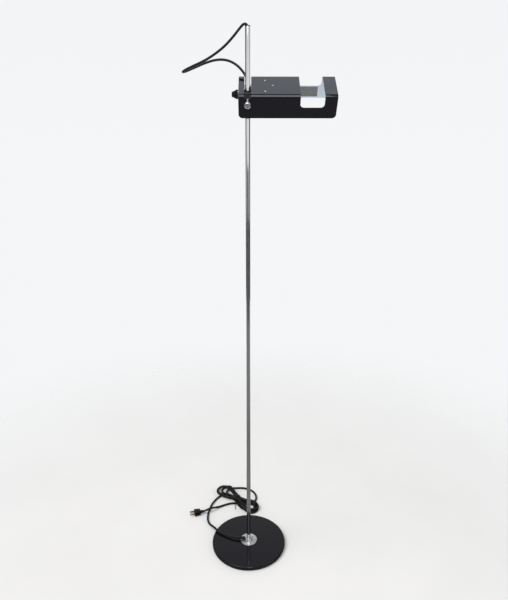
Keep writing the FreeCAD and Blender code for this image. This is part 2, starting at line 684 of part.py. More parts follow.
def hank_parts(mains, plug_lead):
    """The tied hank between the two loose stretches of mains cord, and the wire tie round its waist."""
    placement = FreeCAD.Placement(V(HANK_X, HANK_Y, 0), FreeCAD.Rotation(UP, HANK_TURN_DEG))
    far = [(along, high) for along, high, low in HANK_OUTLINE]
    near = [(along, low) for along, high, low in reversed(HANK_OUTLINE)]
    body = prism([*far, *near], HANK_TOP - HANK_BOTTOM, HANK_BOTTOM)
    body = body.cut(block((-8, -60, 0), (8, 60, 60)))
    waist = block((-8.5, -HANK_WAIST_HALF, 1.4), (8.5, HANK_WAIST_HALF, HANK_WAIST_TOP - 1.6))
    body = body.fuse(waist)
    body.Placement = placement
    loose = cord("hank loose turn", LOOSE_TURN_ROUTE, MAINS_R)
    body = body.fuse(loose).removeSplitter()
    save("cord_hank", body.cut(mains).cut(plug_lead))

    outer = HANK_WAIST_HALF + 1.0
    inner = HANK_WAIST_HALF + 0.05
    tie = block((-2.2, -outer, HANK_BOTTOM), (2.2, outer, HANK_WAIST_TOP - 0.6))
    tie = tie.cut(block((-4, -inner, 1.35), (4, inner, HANK_WAIST_TOP - 1.55)))
    tie.Placement = placement
    tail = cord("tie tail", TIE_TAIL_ROUTE, TIE_TAIL_R)
    save("wire_tie", tie.fuse(tail).removeSplitter())


def plug_parts(plug_lead):
    """The two-blade mains plug at the end of the cord, with its moulded boot."""
    place = FreeCAD.Placement(V(PLUG_BACK[0], PLUG_BACK[1], PLUG_Z), FreeCAD.Rotation(UP, PLUG_TURN_DEG))
    half = PLUG_WIDE / 2
    high = PLUG_HIGH / 2
    body = block((0, -half, -high), (PLUG_LONG, half, high))
    body = body.makeFillet(4.0, along_edges(body, UP, lambda c: c.x < 1))
    centres = [(e, e.CenterOfMass) for e in body.Edges]
    rims = [e for e, c in centres if abs(abs(c.z) - high) < SMALL_GAP and c.x < PLUG_LONG - 1]
    body = body.makeFillet(2.0, rims)
    boot = [(0, 0), (5.6, 0), (5.2, 5.0), (4.6, 6.0), (4.7, 10.0), (4.1, 11.0), (3.9, 15.4), (0, 15.4)]
    boot = turned(boot, ORIGIN, V(-1, 0, 0.04))
    body.Placement = place
    boot.Placement = place.multiply(boot.Placement)
    save("plug_body", body)
    save("plug_boot", boot.cut(body).cut(plug_lead))
    blades = []
    for y in (-BLADE_PITCH / 2, BLADE_PITCH / 2):
        blade = block((PLUG_LONG, y - 0.75, -3.2), (PLUG_LONG + 15.0, y + 0.75, 3.2))
        blade = blade.makeFillet(1.6, along_edges(blade, Y_AXIS, lambda c: c.x > PLUG_LONG + 14))
        blades.append(blade.cut(rod(1.5, (PLUG_LONG + 11.0, y - 2, 0), (PLUG_LONG + 11.0, y + 2, 0))))
    blades = Part.makeCompound(blades)
    blades.Placement = place
    save("plug_blades", blades)


def main():
    """Builds every sub-part and writes its file."""
    os.makedirs("parts", exist_ok=True)
    base_parts()
    hub_parts()
    stem_parts()
    carriage_parts()
    shell_part()
    cradle_parts()
    lamp_parts()
    mains = cord("mains_cord", MAINS_ROUTE, MAINS_R)
    plug_lead = cord("plug_cord", PLUG_ROUTE, MAINS_R)
    save("mains_cord", mains)
    save("plug_cord", plug_lead)
    hank_parts(mains, plug_lead)
    plug_parts(plug_lead)


main()
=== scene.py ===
import json
import math
import bmesh
import bpy
import numpy as np
from mathutils import Matrix, Vector


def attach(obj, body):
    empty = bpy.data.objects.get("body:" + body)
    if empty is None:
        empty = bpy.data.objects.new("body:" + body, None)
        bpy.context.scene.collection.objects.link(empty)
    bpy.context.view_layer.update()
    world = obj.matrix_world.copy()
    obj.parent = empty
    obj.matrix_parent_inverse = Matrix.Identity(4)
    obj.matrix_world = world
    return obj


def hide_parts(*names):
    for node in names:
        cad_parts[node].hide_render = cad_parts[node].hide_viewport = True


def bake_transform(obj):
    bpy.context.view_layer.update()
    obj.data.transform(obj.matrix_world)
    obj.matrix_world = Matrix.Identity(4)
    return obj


# Looks of the adjustable reading floor lamp, built round its CAD frame: metres, +Z up, as the CAD has them.
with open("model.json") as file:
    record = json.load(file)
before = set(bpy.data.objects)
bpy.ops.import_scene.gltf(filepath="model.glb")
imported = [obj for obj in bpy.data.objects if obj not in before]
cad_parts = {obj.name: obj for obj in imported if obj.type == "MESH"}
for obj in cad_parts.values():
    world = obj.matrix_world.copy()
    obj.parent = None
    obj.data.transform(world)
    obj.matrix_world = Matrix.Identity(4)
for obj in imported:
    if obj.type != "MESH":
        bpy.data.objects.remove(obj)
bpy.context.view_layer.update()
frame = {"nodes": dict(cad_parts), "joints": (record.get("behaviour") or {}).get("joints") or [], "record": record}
NODES = frame["nodes"]
RECORD = frame["record"]
JOINTS = {joint["name"]: joint for joint in frame["joints"]}

MM = 0.001
UP = Vector((0, 0, 1))

# The camera, in metres and degrees.
CAMERA_PLACE = (0.0154, -1.34197, 1.21348)
CAMERA_PITCH = 16.907
CAMERA_ROLL = -0.065
CAMERA_LENS = 30.905
SENSOR_WIDTH = 36

# The head's own frame: the pivot axis is its origin, and it rests tilted.
PIVOT = Vector(JOINTS["head_tilt"]["pos_m"])
KNOB_DIRECTION = Vector(JOINTS["clamp_knob_turn"]["axis"])
TILT = math.atan2(-KNOB_DIRECTION.z, -KNOB_DIRECTION.y)
HEAD_FRAME = Matrix.Translation(PIVOT) @ Matrix.Rotation(TILT, 4, "X")

# The cords, in metres: their routes are the points that the CAD tubes follow.
MAINS_R = 3.25 * MM
HEAD_CORD_R = 3.0 * MM
FLOOR_Z = 0.0034
CORD_STEPS = 10
HEAD_CORD_SIDES = 24
MAINS_ROUNDNESS = 5

MAINS_ROUTE = (
    (-0.038, 0.0, 0.019), (-0.0555, 0.005, 0.0182), (-0.076, 0.0145, 0.0168), (-0.096, 0.028, 0.0176),
    (-0.1125, 0.0455, 0.0192), (-0.1235, 0.0625, 0.0128), (-0.132, 0.079, 0.0052),
    (-0.1382, 0.097, FLOOR_Z), (-0.1402, 0.119, FLOOR_Z), (-0.1384, 0.14, FLOOR_Z),
    (-0.1348, 0.1605, FLOOR_Z), (-0.1292, 0.181, FLOOR_Z), (-0.119, 0.2025, FLOOR_Z),
    (-0.1045, 0.2215, FLOOR_Z),
)

LOOSE_TURN_ROUTE = (
    (-0.085, 0.249, 0.009), (-0.071, 0.2595, 0.008), (-0.052, 0.266, 0.006), (-0.0305, 0.2685, 0.0044),
    (-0.009, 0.265, FLOOR_Z), (0.01, 0.2535, FLOOR_Z), (0.023, 0.236, FLOOR_Z), (0.0275, 0.214, 0.0044),
    (0.022, 0.1925, 0.007),
)

PLUG_ROUTE = (
    (-0.1502, 0.1364, 0.0094), (-0.1432, 0.1382, 0.0124), (-0.1328, 0.143, 0.0144),
    (-0.1205, 0.1518, 0.0098), (-0.1075, 0.1612, 0.0046), (-0.093, 0.1698, FLOOR_Z),
    (-0.0775, 0.1776, FLOOR_Z), (-0.06, 0.1834, FLOOR_Z), (-0.042, 0.1814, 0.0044),
)

HEAD_CORD_ROUTE = (
    (0.0, 0.0, 1.4692), (0.0, 0.0, 1.4792), (-0.0083, 0.0003, 1.4826), (-0.0175, 0.001, 1.4737),
    (-0.0335, 0.003, 1.4552), (-0.0548, 0.006, 1.4344), (-0.0795, 0.0095, 1.4174),
    (-0.104, 0.014, 1.4042), (-0.1305, 0.0195, 1.394), (-0.1535, 0.028, 1.3854),
    (-0.1635, 0.045, 1.3816), (-0.1545, 0.062, 1.3868), (-0.13, 0.07, 1.398), (-0.104, 0.069, 1.408),
    (-0.078, 0.063, 1.4138), (-0.053, 0.054, 1.412), (-0.0315, 0.043, 1.402), (-0.0155, 0.0325, 1.387),
    (-0.0045, 0.0225, 1.371), (0.0018, 0.015, 1.357), (0.004, 0.0128, 1.3476),
)

# The hank's own frame: along, across and up from the tie, in millimetres.
HANK_CENTRE = Vector((-0.042, 0.1995, 0))
HANK_TURN = math.radians(-41)
HANK_FRAME = Matrix.Translation(HANK_CENTRE) @ Matrix.Rotation(HANK_TURN, 4, "Z")

# The hank's turns: (side, reach, half width, lean, lift), through places in the tie (across, up).
TIE_PLACES = (
    (7.1, 4.6), (-7.1, 4.6), (0.0, 4.6), (3.55, 10.4), (-3.55, 10.4), (7.1, 16.0), (-7.1, 16.0),
    (0.0, 16.0),
)
HANK_TURNS = (
    (-1, 99, 27, -9, 3.6),
    (1, 84, 25, -4, 9.9),
    (-1, 85, 22, -15, 9.9),
    (1, 88, 22, 7, 15.5),
    (-1, 93, 25, 0, 15.5),
)
HANK_FIRST_TURN = (1, 90, 26, 1, 3.4)
HANK_ENTRY = (
    (-61, -12, 3.4), (-54, 0, 3.4), (-42, 6, 3.4), (-29, 7.4, 3.6), (-15, 7.3, 4.4), (0, 7.1, 4.6),
)
HANK_TO_LOOSE_TURN = ((-15, -7.2, 4.8), (-30, -6.5, 8), (-46, -5, 10.5), (-60, -1.5, 11))
HANK_FROM_LOOSE_TURN = (
    (57, 21, 10.5), (51, 8, 11), (40, 1, 10), (28, -1, 7.5), (14, -0.5, 5.2), (0, 0, 4.6),
)
HANK_EXIT = (
    (15, 2, 16.2), (33, 14, 15.5), (52, 23, 14), (70, 19, 12), (79, 4, 10.5), (73, -13, 9),
    (57, -23, 7), (38, -22, 5.4), (24, -17, 4.6),
)
HANK_NECK = 15
HANK_NECK_SPREAD = 1.1
HANK_SHOULDER = 33
HANK_SHOULDER_SPREAD = 0.72
HANK_BULGE = 1.06
HANK_HIGHEST = 0.0164
TIE_HALF_LENGTH = 0.005
# Half the room across the tie, and the lowest and highest that a turn lies in it.
TIE_ROOM = (0.0071, 0.0046, 0.0162)

# How the hank's turns are laid down: distances in metres, the rest as shares for each step.
SETTLE_SPACING = 0.004
SETTLE_STEPS = 420
SETTLE_APART = 0.0067
SETTLE_NEIGHBOURS = 5
SETTLE_SMOOTH = 0.16
SETTLE_STIFF = 0.03
SETTLE_STRETCH = 0.9
SETTLE_STRETCHES = 2
SETTLE_PUSH = 0.42
SETTLE_FALL = 0.00003
SETTLE_HOLD = 0.02
SETTLE_KEEP = 3

TIE_TAIL_ROUTE = (
    (-0.0492, 0.1918, 0.0096), (-0.049, 0.183, 0.0104), (-0.0486, 0.171, 0.0046),
    (-0.0482, 0.1625, 0.002), (-0.0476, 0.1535, 0.0015),
)
TIE_TWISTS = 7
TIE_WIRE_R = 0.0006
TIE_WIRE_SIDES = 10
PLUG_PLACE = Vector((-0.166, 0.1325, 0.0086))
PLUG_TURN = math.radians(194)
LOFT_SIDES = 96
LOFT_POWER = 5.0

# The base and the stem, in millimetres.
BASE_R = 114.0
COVER_TOP = 12.0
COVER_WALL = 1.6
COVER_FOOT = 1.8
FLANGE_TOP = 14.2
BOSS_TOP = 24.0
HOLE_R = 6.05
STEM_R = 6.0
STEM_BORE_R = 5.0
STEM_FOOT = 2.6
STEM_TOP = 1476.2
BUSH_FOOT = STEM_TOP - 9.0
CORD_EXIT_Z = 19.0
GROMMET_X = -7.7

# The head, in its own frame, in millimetres.
HEAD_LEFT = -22.3
HEAD_LENGTH = 237.0
HEAD_WIDTH = 97.0
HEAD_DEPTH = 58.5
HEAD_FRONT = -39.0
HEAD_TOP = 18.0
SHEET = 1.5
RIM_R = 0.4
BEND_R = 8.0
BEND_STEPS = 8
CORNER_STEPS = 10
RIM_STEPS = 3
WALL_FLAT = HEAD_DEPTH - BEND_R
BEND_FLAT = math.pi / 2 * BEND_R
TOP_FLAT = HEAD_WIDTH - 2 * BEND_R
WALL_CORNER_R = 10.0
WINDOW_LEFT = 148.5
WINDOW_RIGHT = 206.5
WINDOW_DEPTH = 30.5
WINDOW_BACK_DEPTH = 27.0
WINDOW_CORNER_R = 9.0
SLOT_HALF = 8.4
SLOT_BACK_DEPTH = 30.0
SLOT_CORNER_R = 0.8
SLOT_END_R = 8.1
SLOT_START = 1.5
KNOB_AXIS_Z = 7.1
LAMP_Y = 9.5
LAMP_Z = -14.0
BULB_R = 22.5
BULB_END = 124.0
BULB_STEPS = 32
BULB_OPENING = 143
SCREW_PLACES = ((42.2, -18.4), (42.2, 32.6), (60.5, 8.5))
FLUTES = 12
FLUTE_DEPTH = 1.15
FLUTE_START_R = 6.0
FLUTE_FULL_R = 9.0

# The studio: the surround's shades go by the sine of elevation.
WORLD_SHADES = ((0.0, 0.93), (0.45, 0.9), (0.56, 0.42), (0.74, 0.35), (0.84, 0.2), (1.0, 0.14))
WORLD_TINT = (0.98, 0.99, 1.0)
WORLD_STRENGTH = 1.0
FLOOR_REACH = 4.0
FLOOR_SIDES = 96
FLOOR_FADE = (0.5, 1.8)
LIGHT_AIM = Vector((0.1, 0, PIVOT.z))
MAT_EDGES = (-9, 9, -9, 0.35)
MAT_LIFT = 0.0006
MAT_COLOR = (0.2, 0.198, 0.205)
PANEL_ROUGHNESS = 0.9
FLAG_LIFT = 0.02

# Softboxes round the head: azimuth, elevation, distance, width, height, radiance, colour.
SOFTBOXES = (
    ("back_box", 176, 57, 2.5, 2.0, 0.85, 1.05, (0.83, 0.89, 1)),
    ("front_box", 3, 40, 2.9, 0.75, 2.0, 4.4, (1, 1, 1)),
    ("top_box", -60, 62, 2.4, 1.4, 1.4, 3.0, (1, 0.99, 0.97)),
)

# The broad light from the left: azimuth, elevation, strength, angle across.
SKYLIGHT = (-78, 52, 1.5, 34)

# Upright dark panels: azimuth, distance, width, height, shade.
FLAGS = (
    ("right_flag", 122, 2.6, 1.9, 2.7, 0.02),
    ("right_low_flag", 90, 2.6, 1.8, 1.68, 0.03),
    ("left_flag", -105, 2.6, 4.2, 2.7, 0.1),
    ("front_flag", -2, 2.0, 3.4, 1.22, 0.1),
)

BEVELLED_NODES = (
    "joint_core", "core_rings", "joint_cradle", "core_gland", "lampholder_bracket", "blank_plate",
)
CAD_BEVEL = 0.0003
BLADE_BEVEL = 0.00025
SLOT_OF = {row["node"]: row["material_slot"] for row in RECORD["subparts"]}
BODY_OF = {node: body for body, nodes in RECORD["behaviour"]["bodies"].items() for node in nodes}


# ---- materials ----

NOISE_ROUGHNESS = 0.55


def new_material(name, color, roughness, metallic=0.0, **sockets):
    """A material with one Principled shader; constants go straight on the shader's own sockets."""
    material = bpy.data.materials.new(name)
    material.use_nodes = True
    shader = material.node_tree.nodes["Principled BSDF"]
    shader.inputs["Base Color"].default_value = (*color, 1)
    shader.inputs["Roughness"].default_value = roughness
    shader.inputs["Metallic"].default_value = metallic
    for socket, value in sockets.items():
        shader.inputs[socket.replace("_", " ")].default_value = value
    return material


def noise(material, scale, detail, stretch=(1, 1, 1)):
    """A noise texture in object coordinates: features per metre, drawn out along an axis by stretch."""
    nodes, links = material.node_tree.nodes, material.node_tree.links
    place = nodes.new("ShaderNodeTexCoord")
    mapping = nodes.new("ShaderNodeMapping")
    mapping.inputs["Scale"].default_value = stretch
    texture = nodes.new("ShaderNodeTexNoise")
    texture.inputs["Scale"].default_value = scale
    texture.inputs["Detail"].default_value = detail
    texture.inputs["Roughness"].default_value = NOISE_ROUGHNESS
    links.new(place.outputs["Object"], mapping.inputs["Vector"])
    links.new(mapping.outputs["Vector"], texture.inputs["Vector"])
    return texture.outputs["Fac"]


def vary(material, factor, socket, low, high, spread=(0.35, 0.65)):
    """Drive a shader socket from low to high by a texture's factor; colours or plain numbers."""
    nodes, links = material.node_tree.nodes, material.node_tree.links
    ramp = nodes.new("ShaderNodeValToRGB")
    for element, at, value in zip(ramp.color_ramp.elements, spread, (low, high)):
        element.position = at
        element.color = (*value, 1) if isinstance(value, tuple) else (value, value, value, 1)
    links.new(factor, ramp.inputs["Fac"])
    links.new(ramp.outputs["Color"], nodes["Principled BSDF"].inputs[socket])


def bump(material, factor, height, strength):
    """Relief of a height in metres from a texture's factor."""
    nodes, links = material.node_tree.nodes, material.node_tree.links
    relief = nodes.new("ShaderNodeBump")
    relief.inputs["Distance"].default_value = height
    relief.inputs["Strength"].default_value = strength
    links.new(factor, relief.inputs["Height"])
    links.new(relief.outputs["Normal"], nodes["Principled BSDF"].inputs["Normal"])


TINT, GLOSS = "Base Color", "Roughness"

# Each finish: its colour, roughness, metallic and other sockets; then what varies over it, as (noise, socket,
# low, high, spread of the noise), and its relief, as (noise, height in metres, strength). A noise is
# (scale, detail, stretch).
FINISHES = {
    # Gloss black lacquer with a slight orange peel, handling haze and a little dust.
    "black_lacquer": (
        (0.0055, 0.0055, 0.0085), 0.1, 0, {"IOR": 1.5},
        [
            ((26, 4), GLOSS, 0.05, 0.12),
            ((900, 2), TINT, (0.0048, 0.0048, 0.0078), (0.0095, 0.0095, 0.013), (0.5, 0.75)),
        ],
        [((420, 2), 0.00001, 0.5)],
    ),
    # The head's inside: satin white enamel, faintly blue.
    "white_enamel": (
        (0.63, 0.7, 0.78), 0.38, 0, {},
        [((40, 3), TINT, (0.6, 0.67, 0.75), (0.66, 0.73, 0.81)), ((60, 3), GLOSS, 0.32, 0.45)],
        [((1200, 2), 0.00001, 0.35)],
    ),
    # Polished chrome plate, with polishing lines along the stem and a slight haze.
    "chrome": (
        (0.72, 0.72, 0.73), 0.07, 1.0, {},
        [
            ((34, 5), GLOSS, 0.035, 0.13),
            ((18, 3, (1, 1, 0.2)), TINT, (0.62, 0.61, 0.6), (0.78, 0.78, 0.8)),
        ],
        [((2600, 2, (1, 1, 0.03)), 0.000002, 0.4)],
    ),
    # Chrome over turned rings: softer than the stem's, so that it holds the light.
    "turned_chrome": (
        (0.82, 0.82, 0.83), 0.3, 1.0, {},
        [((60, 4), GLOSS, 0.24, 0.38), ((40, 3), TINT, (0.78, 0.78, 0.79), (0.88, 0.88, 0.89))],
        [((2600, 2, (1, 1, 0.03)), 0.000002, 0.4)],
    ),
    "cast_iron": (
        (0.09, 0.088, 0.085), 0.72, 0.55, {},
        [((120, 5), TINT, (0.06, 0.058, 0.055), (0.13, 0.12, 0.11))],
        [((500, 5), 0.0002, 0.8)],
    ),
    "zinc_steel": (
        (0.62, 0.62, 0.6), 0.36, 1.0, {},
        [((260, 4), TINT, (0.5, 0.51, 0.5), (0.74, 0.74, 0.71)), ((420, 3), GLOSS, 0.28, 0.48)],
        [],
    ),
    "brass": (
        (0.76, 0.54, 0.25), 0.26, 1.0, {},
        [((300, 4), TINT, (0.62, 0.41, 0.17), (0.84, 0.62, 0.31)), ((500, 3), GLOSS, 0.2, 0.42)],
        [],
    ),
    "felt": (
        (0.02, 0.02, 0.021), 0.95, 0, {"Sheen_Weight": 0.35},
        [((900, 5), TINT, (0.012, 0.012, 0.013), (0.035, 0.035, 0.036))],
        [((1600, 5), 0.0002, 0.9)],
    ),
    # Moulded thermoset: near gloss, with a fine moulded texture.
    "black_plastic": (
        (0.005, 0.005, 0.0055), 0.35, 0, {"Specular_IOR_Level": 0.2},
        [((60, 4), GLOSS, 0.28, 0.45), ((700, 3), TINT, (0.004, 0.004, 0.0045), (0.01, 0.01, 0.0105))],
        [((2200, 2), 0.00001, 0.5)],
    ),
    # Soft black sheath: matt, slightly dusty, with the faint ripple of the cores under it.
    "cord_sheath": (
        (0.008, 0.008, 0.009), 0.5, 0, {"Specular_IOR_Level": 0.35},
        [
            ((150, 4), TINT, (0.006, 0.006, 0.007), (0.018, 0.0175, 0.017), (0.42, 0.8)),
            ((220, 3), GLOSS, 0.4, 0.58),
        ],
        [((1500, 3), 0.00004, 0.6)],
    ),
    "white_ceramic": (
        (0.8, 0.78, 0.72), 0.2, 0, {"Coat_Weight": 0.4},
        [((180, 3), TINT, (0.76, 0.73, 0.66), (0.85, 0.83, 0.78)), ((90, 3), GLOSS, 0.14, 0.3)],
        [],
    ),
    # Opal lamp glass, unlit.
    "opal_glass": (
        (0.9, 0.89, 0.86), 0.12, 0, {"Subsurface_Weight": 0.3, "Coat_Weight": 0.5},
        [((70, 3), TINT, (0.87, 0.86, 0.82), (0.93, 0.92, 0.9)), ((140, 2), GLOSS, 0.08, 0.18)],
        [],
    ),
    # Satin aluminium of the blank plate, brushed along its length.
    "grey_plate": (
        (0.3, 0.3, 0.3), 0.5, 0.4, {},
        [
            ((1500, 3, (0.04, 1, 1)), TINT, (0.2, 0.2, 0.205), (0.3, 0.3, 0.305)),
            ((90, 3), GLOSS, 0.42, 0.6),
        ],
        [],
    ),
    "nylon": (
        (0.72, 0.69, 0.6), 0.45, 0, {"Subsurface_Weight": 0.1},
        [((200, 3), TINT, (0.66, 0.63, 0.54), (0.77, 0.75, 0.67))],
        [],
    ),
    "floor_paint": (
        (0.82, 0.81, 0.8), 0.75, 0, {"Specular_IOR_Level": 0.2},
        [((3, 4), TINT, (0.82, 0.81, 0.8), (0.8446, 0.8343, 0.824))],
        [],
    ),
}


def make_finish(name):
    """The material that the table of finishes describes."""
    color, roughness, metallic, sockets, changes, reliefs = FINISHES[name]
    material = new_material(name, color, roughness, metallic, **sockets)
    for texture, *change in changes:
        vary(material, noise(material, *texture), *change)
    for texture, *relief in reliefs:
        bump(material, noise(material, *texture), *relief)
    return material


MATERIALS = {name: make_finish(name) for name in FINISHES}
SLOT_MATERIALS = {**MATERIALS, "cord_black": MATERIALS["cord_sheath"]}


def paint_cad_nodes():
    """Every CAD node takes its record slot's material."""
    for row in RECORD["subparts"]:
        node = NODES[row["node"]]
        node.data.materials.clear()
        node.data.materials.append(SLOT_MATERIALS[row["material_slot"]])


# ---- mesh helpers ----

def placed(name, data):
    """A new object in the scene."""
    piece = bpy.data.objects.new(name, data)
    bpy.context.scene.collection.objects.link(piece)
    return piece


def mesh_of(piece):
    """A piece's mesh as its modifiers or its curve make it."""
    bpy.context.view_layer.update()
    return bpy.data.meshes.new_from_object(piece.evaluated_get(bpy.context.evaluated_depsgraph_get()))


def add_object(name, data, body=None, slot=None, replaces=()):
    """Link a new object, and tie it to its body, its material slot and the CAD nodes that it stands for."""
    piece = placed(name, data)
    if slot:
        data.materials.append(SLOT_MATERIALS[slot])
    if body:
        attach(piece, body)
    if replaces:
        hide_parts(*replaces)
    return piece


def mesh_from(name, vertices, faces, sharp=math.radians(40)):
    """A smooth-shaded mesh with its edges kept sharp where faces meet at more than an angle."""
    mesh = bpy.data.meshes.new(name)
    mesh.from_pydata([tuple(v) for v in vertices], [], faces)
    mesh.validate()
    mesh.polygons.foreach_set("use_smooth", [True] * len(mesh.polygons))
    mesh.set_sharp_from_angle(angle=sharp)
    return mesh


def made_from(work, name):
    """A mesh from a finished bmesh."""
    mesh = bpy.data.meshes.new(name)
    work.to_mesh(mesh)
    work.free()
    return mesh


def spline_points(route):
    """Points along the route's own NURBS line, close together."""
    data = bpy.data.curves.new("route", "CURVE")
    nurbs_line(data, route)
    holder = placed("route", data)
    points = [v.co.copy() for v in mesh_of(holder).vertices]
    bpy.data.objects.remove(holder)
    return points


def nurbs_line(data, route):
    """Give curve data one open NURBS spline with the route's points as its control points."""
    data.dimensions = "3D"
    data.resolution_u = CORD_STEPS
    line = data.splines.new("NURBS")
    line.points.add(len(route) - 1)
    for point, place in zip(line.points, route):
        point.co = (*place, 1)
    line.order_u = 3
    line.use_endpoint_u = True


def tube(points, radius, sides):
    """Vertices and faces of a closed round tube along points."""
    vertices = []
    across = (points[1] - points[0]).orthogonal().normalized()
    for i, here in enumerate(points):
        way = (points[min(i + 1, len(points) - 1)] - points[max(i - 1, 0)]).normalized()
        across = (across - way * across.dot(way)).normalized()
        beside = way.cross(across)
        for k in range(sides):
            angle = math.tau * k / sides
            vertices.append(here + (across * math.cos(angle) + beside * math.sin(angle)) * radius)
    return vertices, skin(len(points), sides)


def skin(rings, sides):
    """Faces of a skin over rings of vertices, one ring after the other, with a cap at each end."""
    faces = []
    for i in range(rings - 1):
        for k in range(sides):
            a, b = i * sides + k, i * sides + (k + 1) % sides
            faces.append((a, b, b + sides, a + sides))
    faces.append(tuple(reversed(range(sides))))
    faces.append(tuple(range((rings - 1) * sides, rings * sides)))
    return faces


# ---- camera, light and stage ----

def make_camera():
    """The camera, in front of the lamp and near the head's height, looking a little down."""
    data = bpy.data.cameras.new("camera")
    data.lens = CAMERA_LENS
    data.sensor_width = SENSOR_WIDTH
    data.sensor_fit = "AUTO"
    camera = placed("camera", data)
    camera.location = CAMERA_PLACE
    camera.rotation_euler = (math.radians(90 - CAMERA_PITCH), math.radians(CAMERA_ROLL), 0)
    bpy.context.scene.camera = camera
    bpy.context.scene.view_settings.view_transform = "Standard"


def make_world():
    """The studio's surround: pale walls under a ceiling that darkens overhead."""
    world = bpy.data.worlds.new("studio")
    bpy.context.scene.world = world
    world.use_nodes = True
    nodes, links = world.node_tree.nodes, world.node_tree.links
    background = nodes["Background"]
    place = nodes.new("ShaderNodeTexCoord")
    split = nodes.new("ShaderNodeSeparateXYZ")
    ramp = nodes.new("ShaderNodeValToRGB")
    links.new(place.outputs["Generated"], split.inputs["Vector"])
    links.new(split.outputs["Z"], ramp.inputs["Fac"])
    stops = ramp.color_ramp.elements
    for sine, shade in WORLD_SHADES[2:]:
        stops.new(sine)
    for stop, (sine, shade) in zip(stops, WORLD_SHADES):
        stop.position = sine
        stop.color = (shade * WORLD_TINT[0], shade * WORLD_TINT[1], shade * WORLD_TINT[2], 1)
    links.new(ramp.outputs["Color"], background.inputs["Color"])
    background.inputs["Strength"].default_value = WORLD_STRENGTH


def make_softbox(name, azimuth, elevation, distance, width, height, radiance, color):
    """A studio light aimed at the head, as bright all over as its radiance says."""
    data = bpy.data.lights.new(name, "AREA")
    data.shape = "RECTANGLE"
    data.size = width
    data.size_y = height
    data.energy = radiance * math.pi * width * height
    data.color = color
    light = placed(name, data)
    light.location = round_about(LIGHT_AIM, azimuth, elevation, distance)
    light.rotation_euler = (light.location - LIGHT_AIM).to_track_quat("Z", "Y").to_euler()
    light.visible_camera = False


def make_skylight(azimuth, elevation, strength, across):
    """A broad light from far off, for the floor and the soft shadows on it."""
    data = bpy.data.lights.new("skylight", "SUN")
    data.energy = strength
    data.angle = math.radians(across)
    light = placed("skylight", data)
    light.rotation_euler = round_about(Vector(), azimuth, elevation, 1).to_track_quat("Z", "Y").to_euler()
    light.visible_glossy = False


def round_about(centre, azimuth, elevation, distance):
    """A point at a distance from a centre; azimuth 0 is towards the camera, and 90 to its right."""
    turn, rise = math.radians(azimuth), math.radians(elevation)
    way = Vector((math.sin(turn) * math.cos(rise), -math.cos(turn) * math.cos(rise), math.sin(rise)))
    return centre + way * distance


def only_reflected(panel):
    """Part of the studio that shows in shiny surfaces and nowhere else."""
    panel.visible_camera = False
    panel.visible_diffuse = False
    panel.visible_shadow = False


def make_mat():
    """A dark mat on the floor, seen only in the chrome and the lacquer."""
    left, right, near, far = MAT_EDGES
    corners = ((left, near, MAT_LIFT), (right, near, MAT_LIFT), (right, far, MAT_LIFT), (left, far, MAT_LIFT))
    mesh = mesh_from("mat", corners, [(0, 1, 2, 3)])
    mesh.materials.append(new_material("mat", MAT_COLOR, PANEL_ROUGHNESS))
    only_reflected(add_object("mat", mesh))


def make_flag(name, azimuth, distance, width, height, shade):
    """An upright dark panel beside the object, out of the camera's sight, for the chrome to reflect."""
    turn = math.radians(azimuth)
    centre = Vector((math.sin(turn), -math.cos(turn), 0)) * distance
    beside = Vector((math.cos(turn), math.sin(turn), 0)) * (width / 2)
    corners = (centre - beside, centre + beside, centre + beside + UP * height, centre - beside + UP * height)
    mesh = mesh_from(name, [c + UP * FLAG_LIFT for c in corners], [(0, 1, 2, 3)])
    mesh.materials.append(new_material(name, (shade, shade, shade), PANEL_ROUGHNESS))
    only_reflected(add_object(name, mesh))


def fade_out(material, start, end):
    """Make a material clear away from the object: solid up to one distance, gone at the other."""
    nodes, links = material.node_tree.nodes, material.node_tree.links
    place = nodes.new("ShaderNodeTexCoord")
    reach = nodes.new("ShaderNodeVectorMath")
    reach.operation = "LENGTH"
    fade = nodes.new("ShaderNodeMapRange")
    fade.interpolation_type = "SMOOTHSTEP"
    fade.inputs["From Min"].default_value = start
    fade.inputs["From Max"].default_value = end
    fade.inputs["To Min"].default_value = 1
    fade.inputs["To Max"].default_value = 0
    links.new(place.outputs["Object"], reach.inputs[0])
    links.new(reach.outputs["Value"], fade.inputs["Value"])
    links.new(fade.outputs["Result"], nodes["Principled BSDF"].inputs["Alpha"])


def make_floor():
    """A plain pale floor that runs out into the pale surround."""
    fade_out(MATERIALS["floor_paint"], *FLOOR_FADE)
    ring = []
    for k in range(FLOOR_SIDES):
        turn = math.tau * k / FLOOR_SIDES
        ring.append((FLOOR_REACH * math.cos(turn), FLOOR_REACH * math.sin(turn), 0))
    mesh = mesh_from("floor", ring, [tuple(range(FLOOR_SIDES))])
    mesh.materials.append(MATERIALS["floor_paint"])
    add_object("floor", mesh)


# ---- cords ----

def in_hank(point):
    """From the hank's own frame, in millimetres, to the lamp's, in metres."""
    return HANK_FRAME @ (Vector(point) * MM)


def hank_turn(side, reach, half, lean, lift, leave, arrive):
    """One end turn of the hank: out of the tie on one side, round clockwise, and back into the tie."""
    neck, shoulder = side * HANK_NECK, side * HANK_SHOULDER
    wide = side * half * HANK_SHOULDER_SPREAD
    bulge = half * HANK_BULGE
    points = [(neck, leave[0] * HANK_NECK_SPREAD, leave[1]), (shoulder, wide, lift)]
    for angle in (72, 36, 0, -36, -72):
        turn = math.radians(angle)
        along = reach - half + bulge * math.cos(turn)
        points.append((side * along, side * bulge * math.sin(turn), lift))
    points += [(shoulder, -wide, lift), (neck, arrive[0] * HANK_NECK_SPREAD, arrive[1]), (0, *arrive)]
    return [(s, t + lean * s / reach, z) for s, t, z in points]


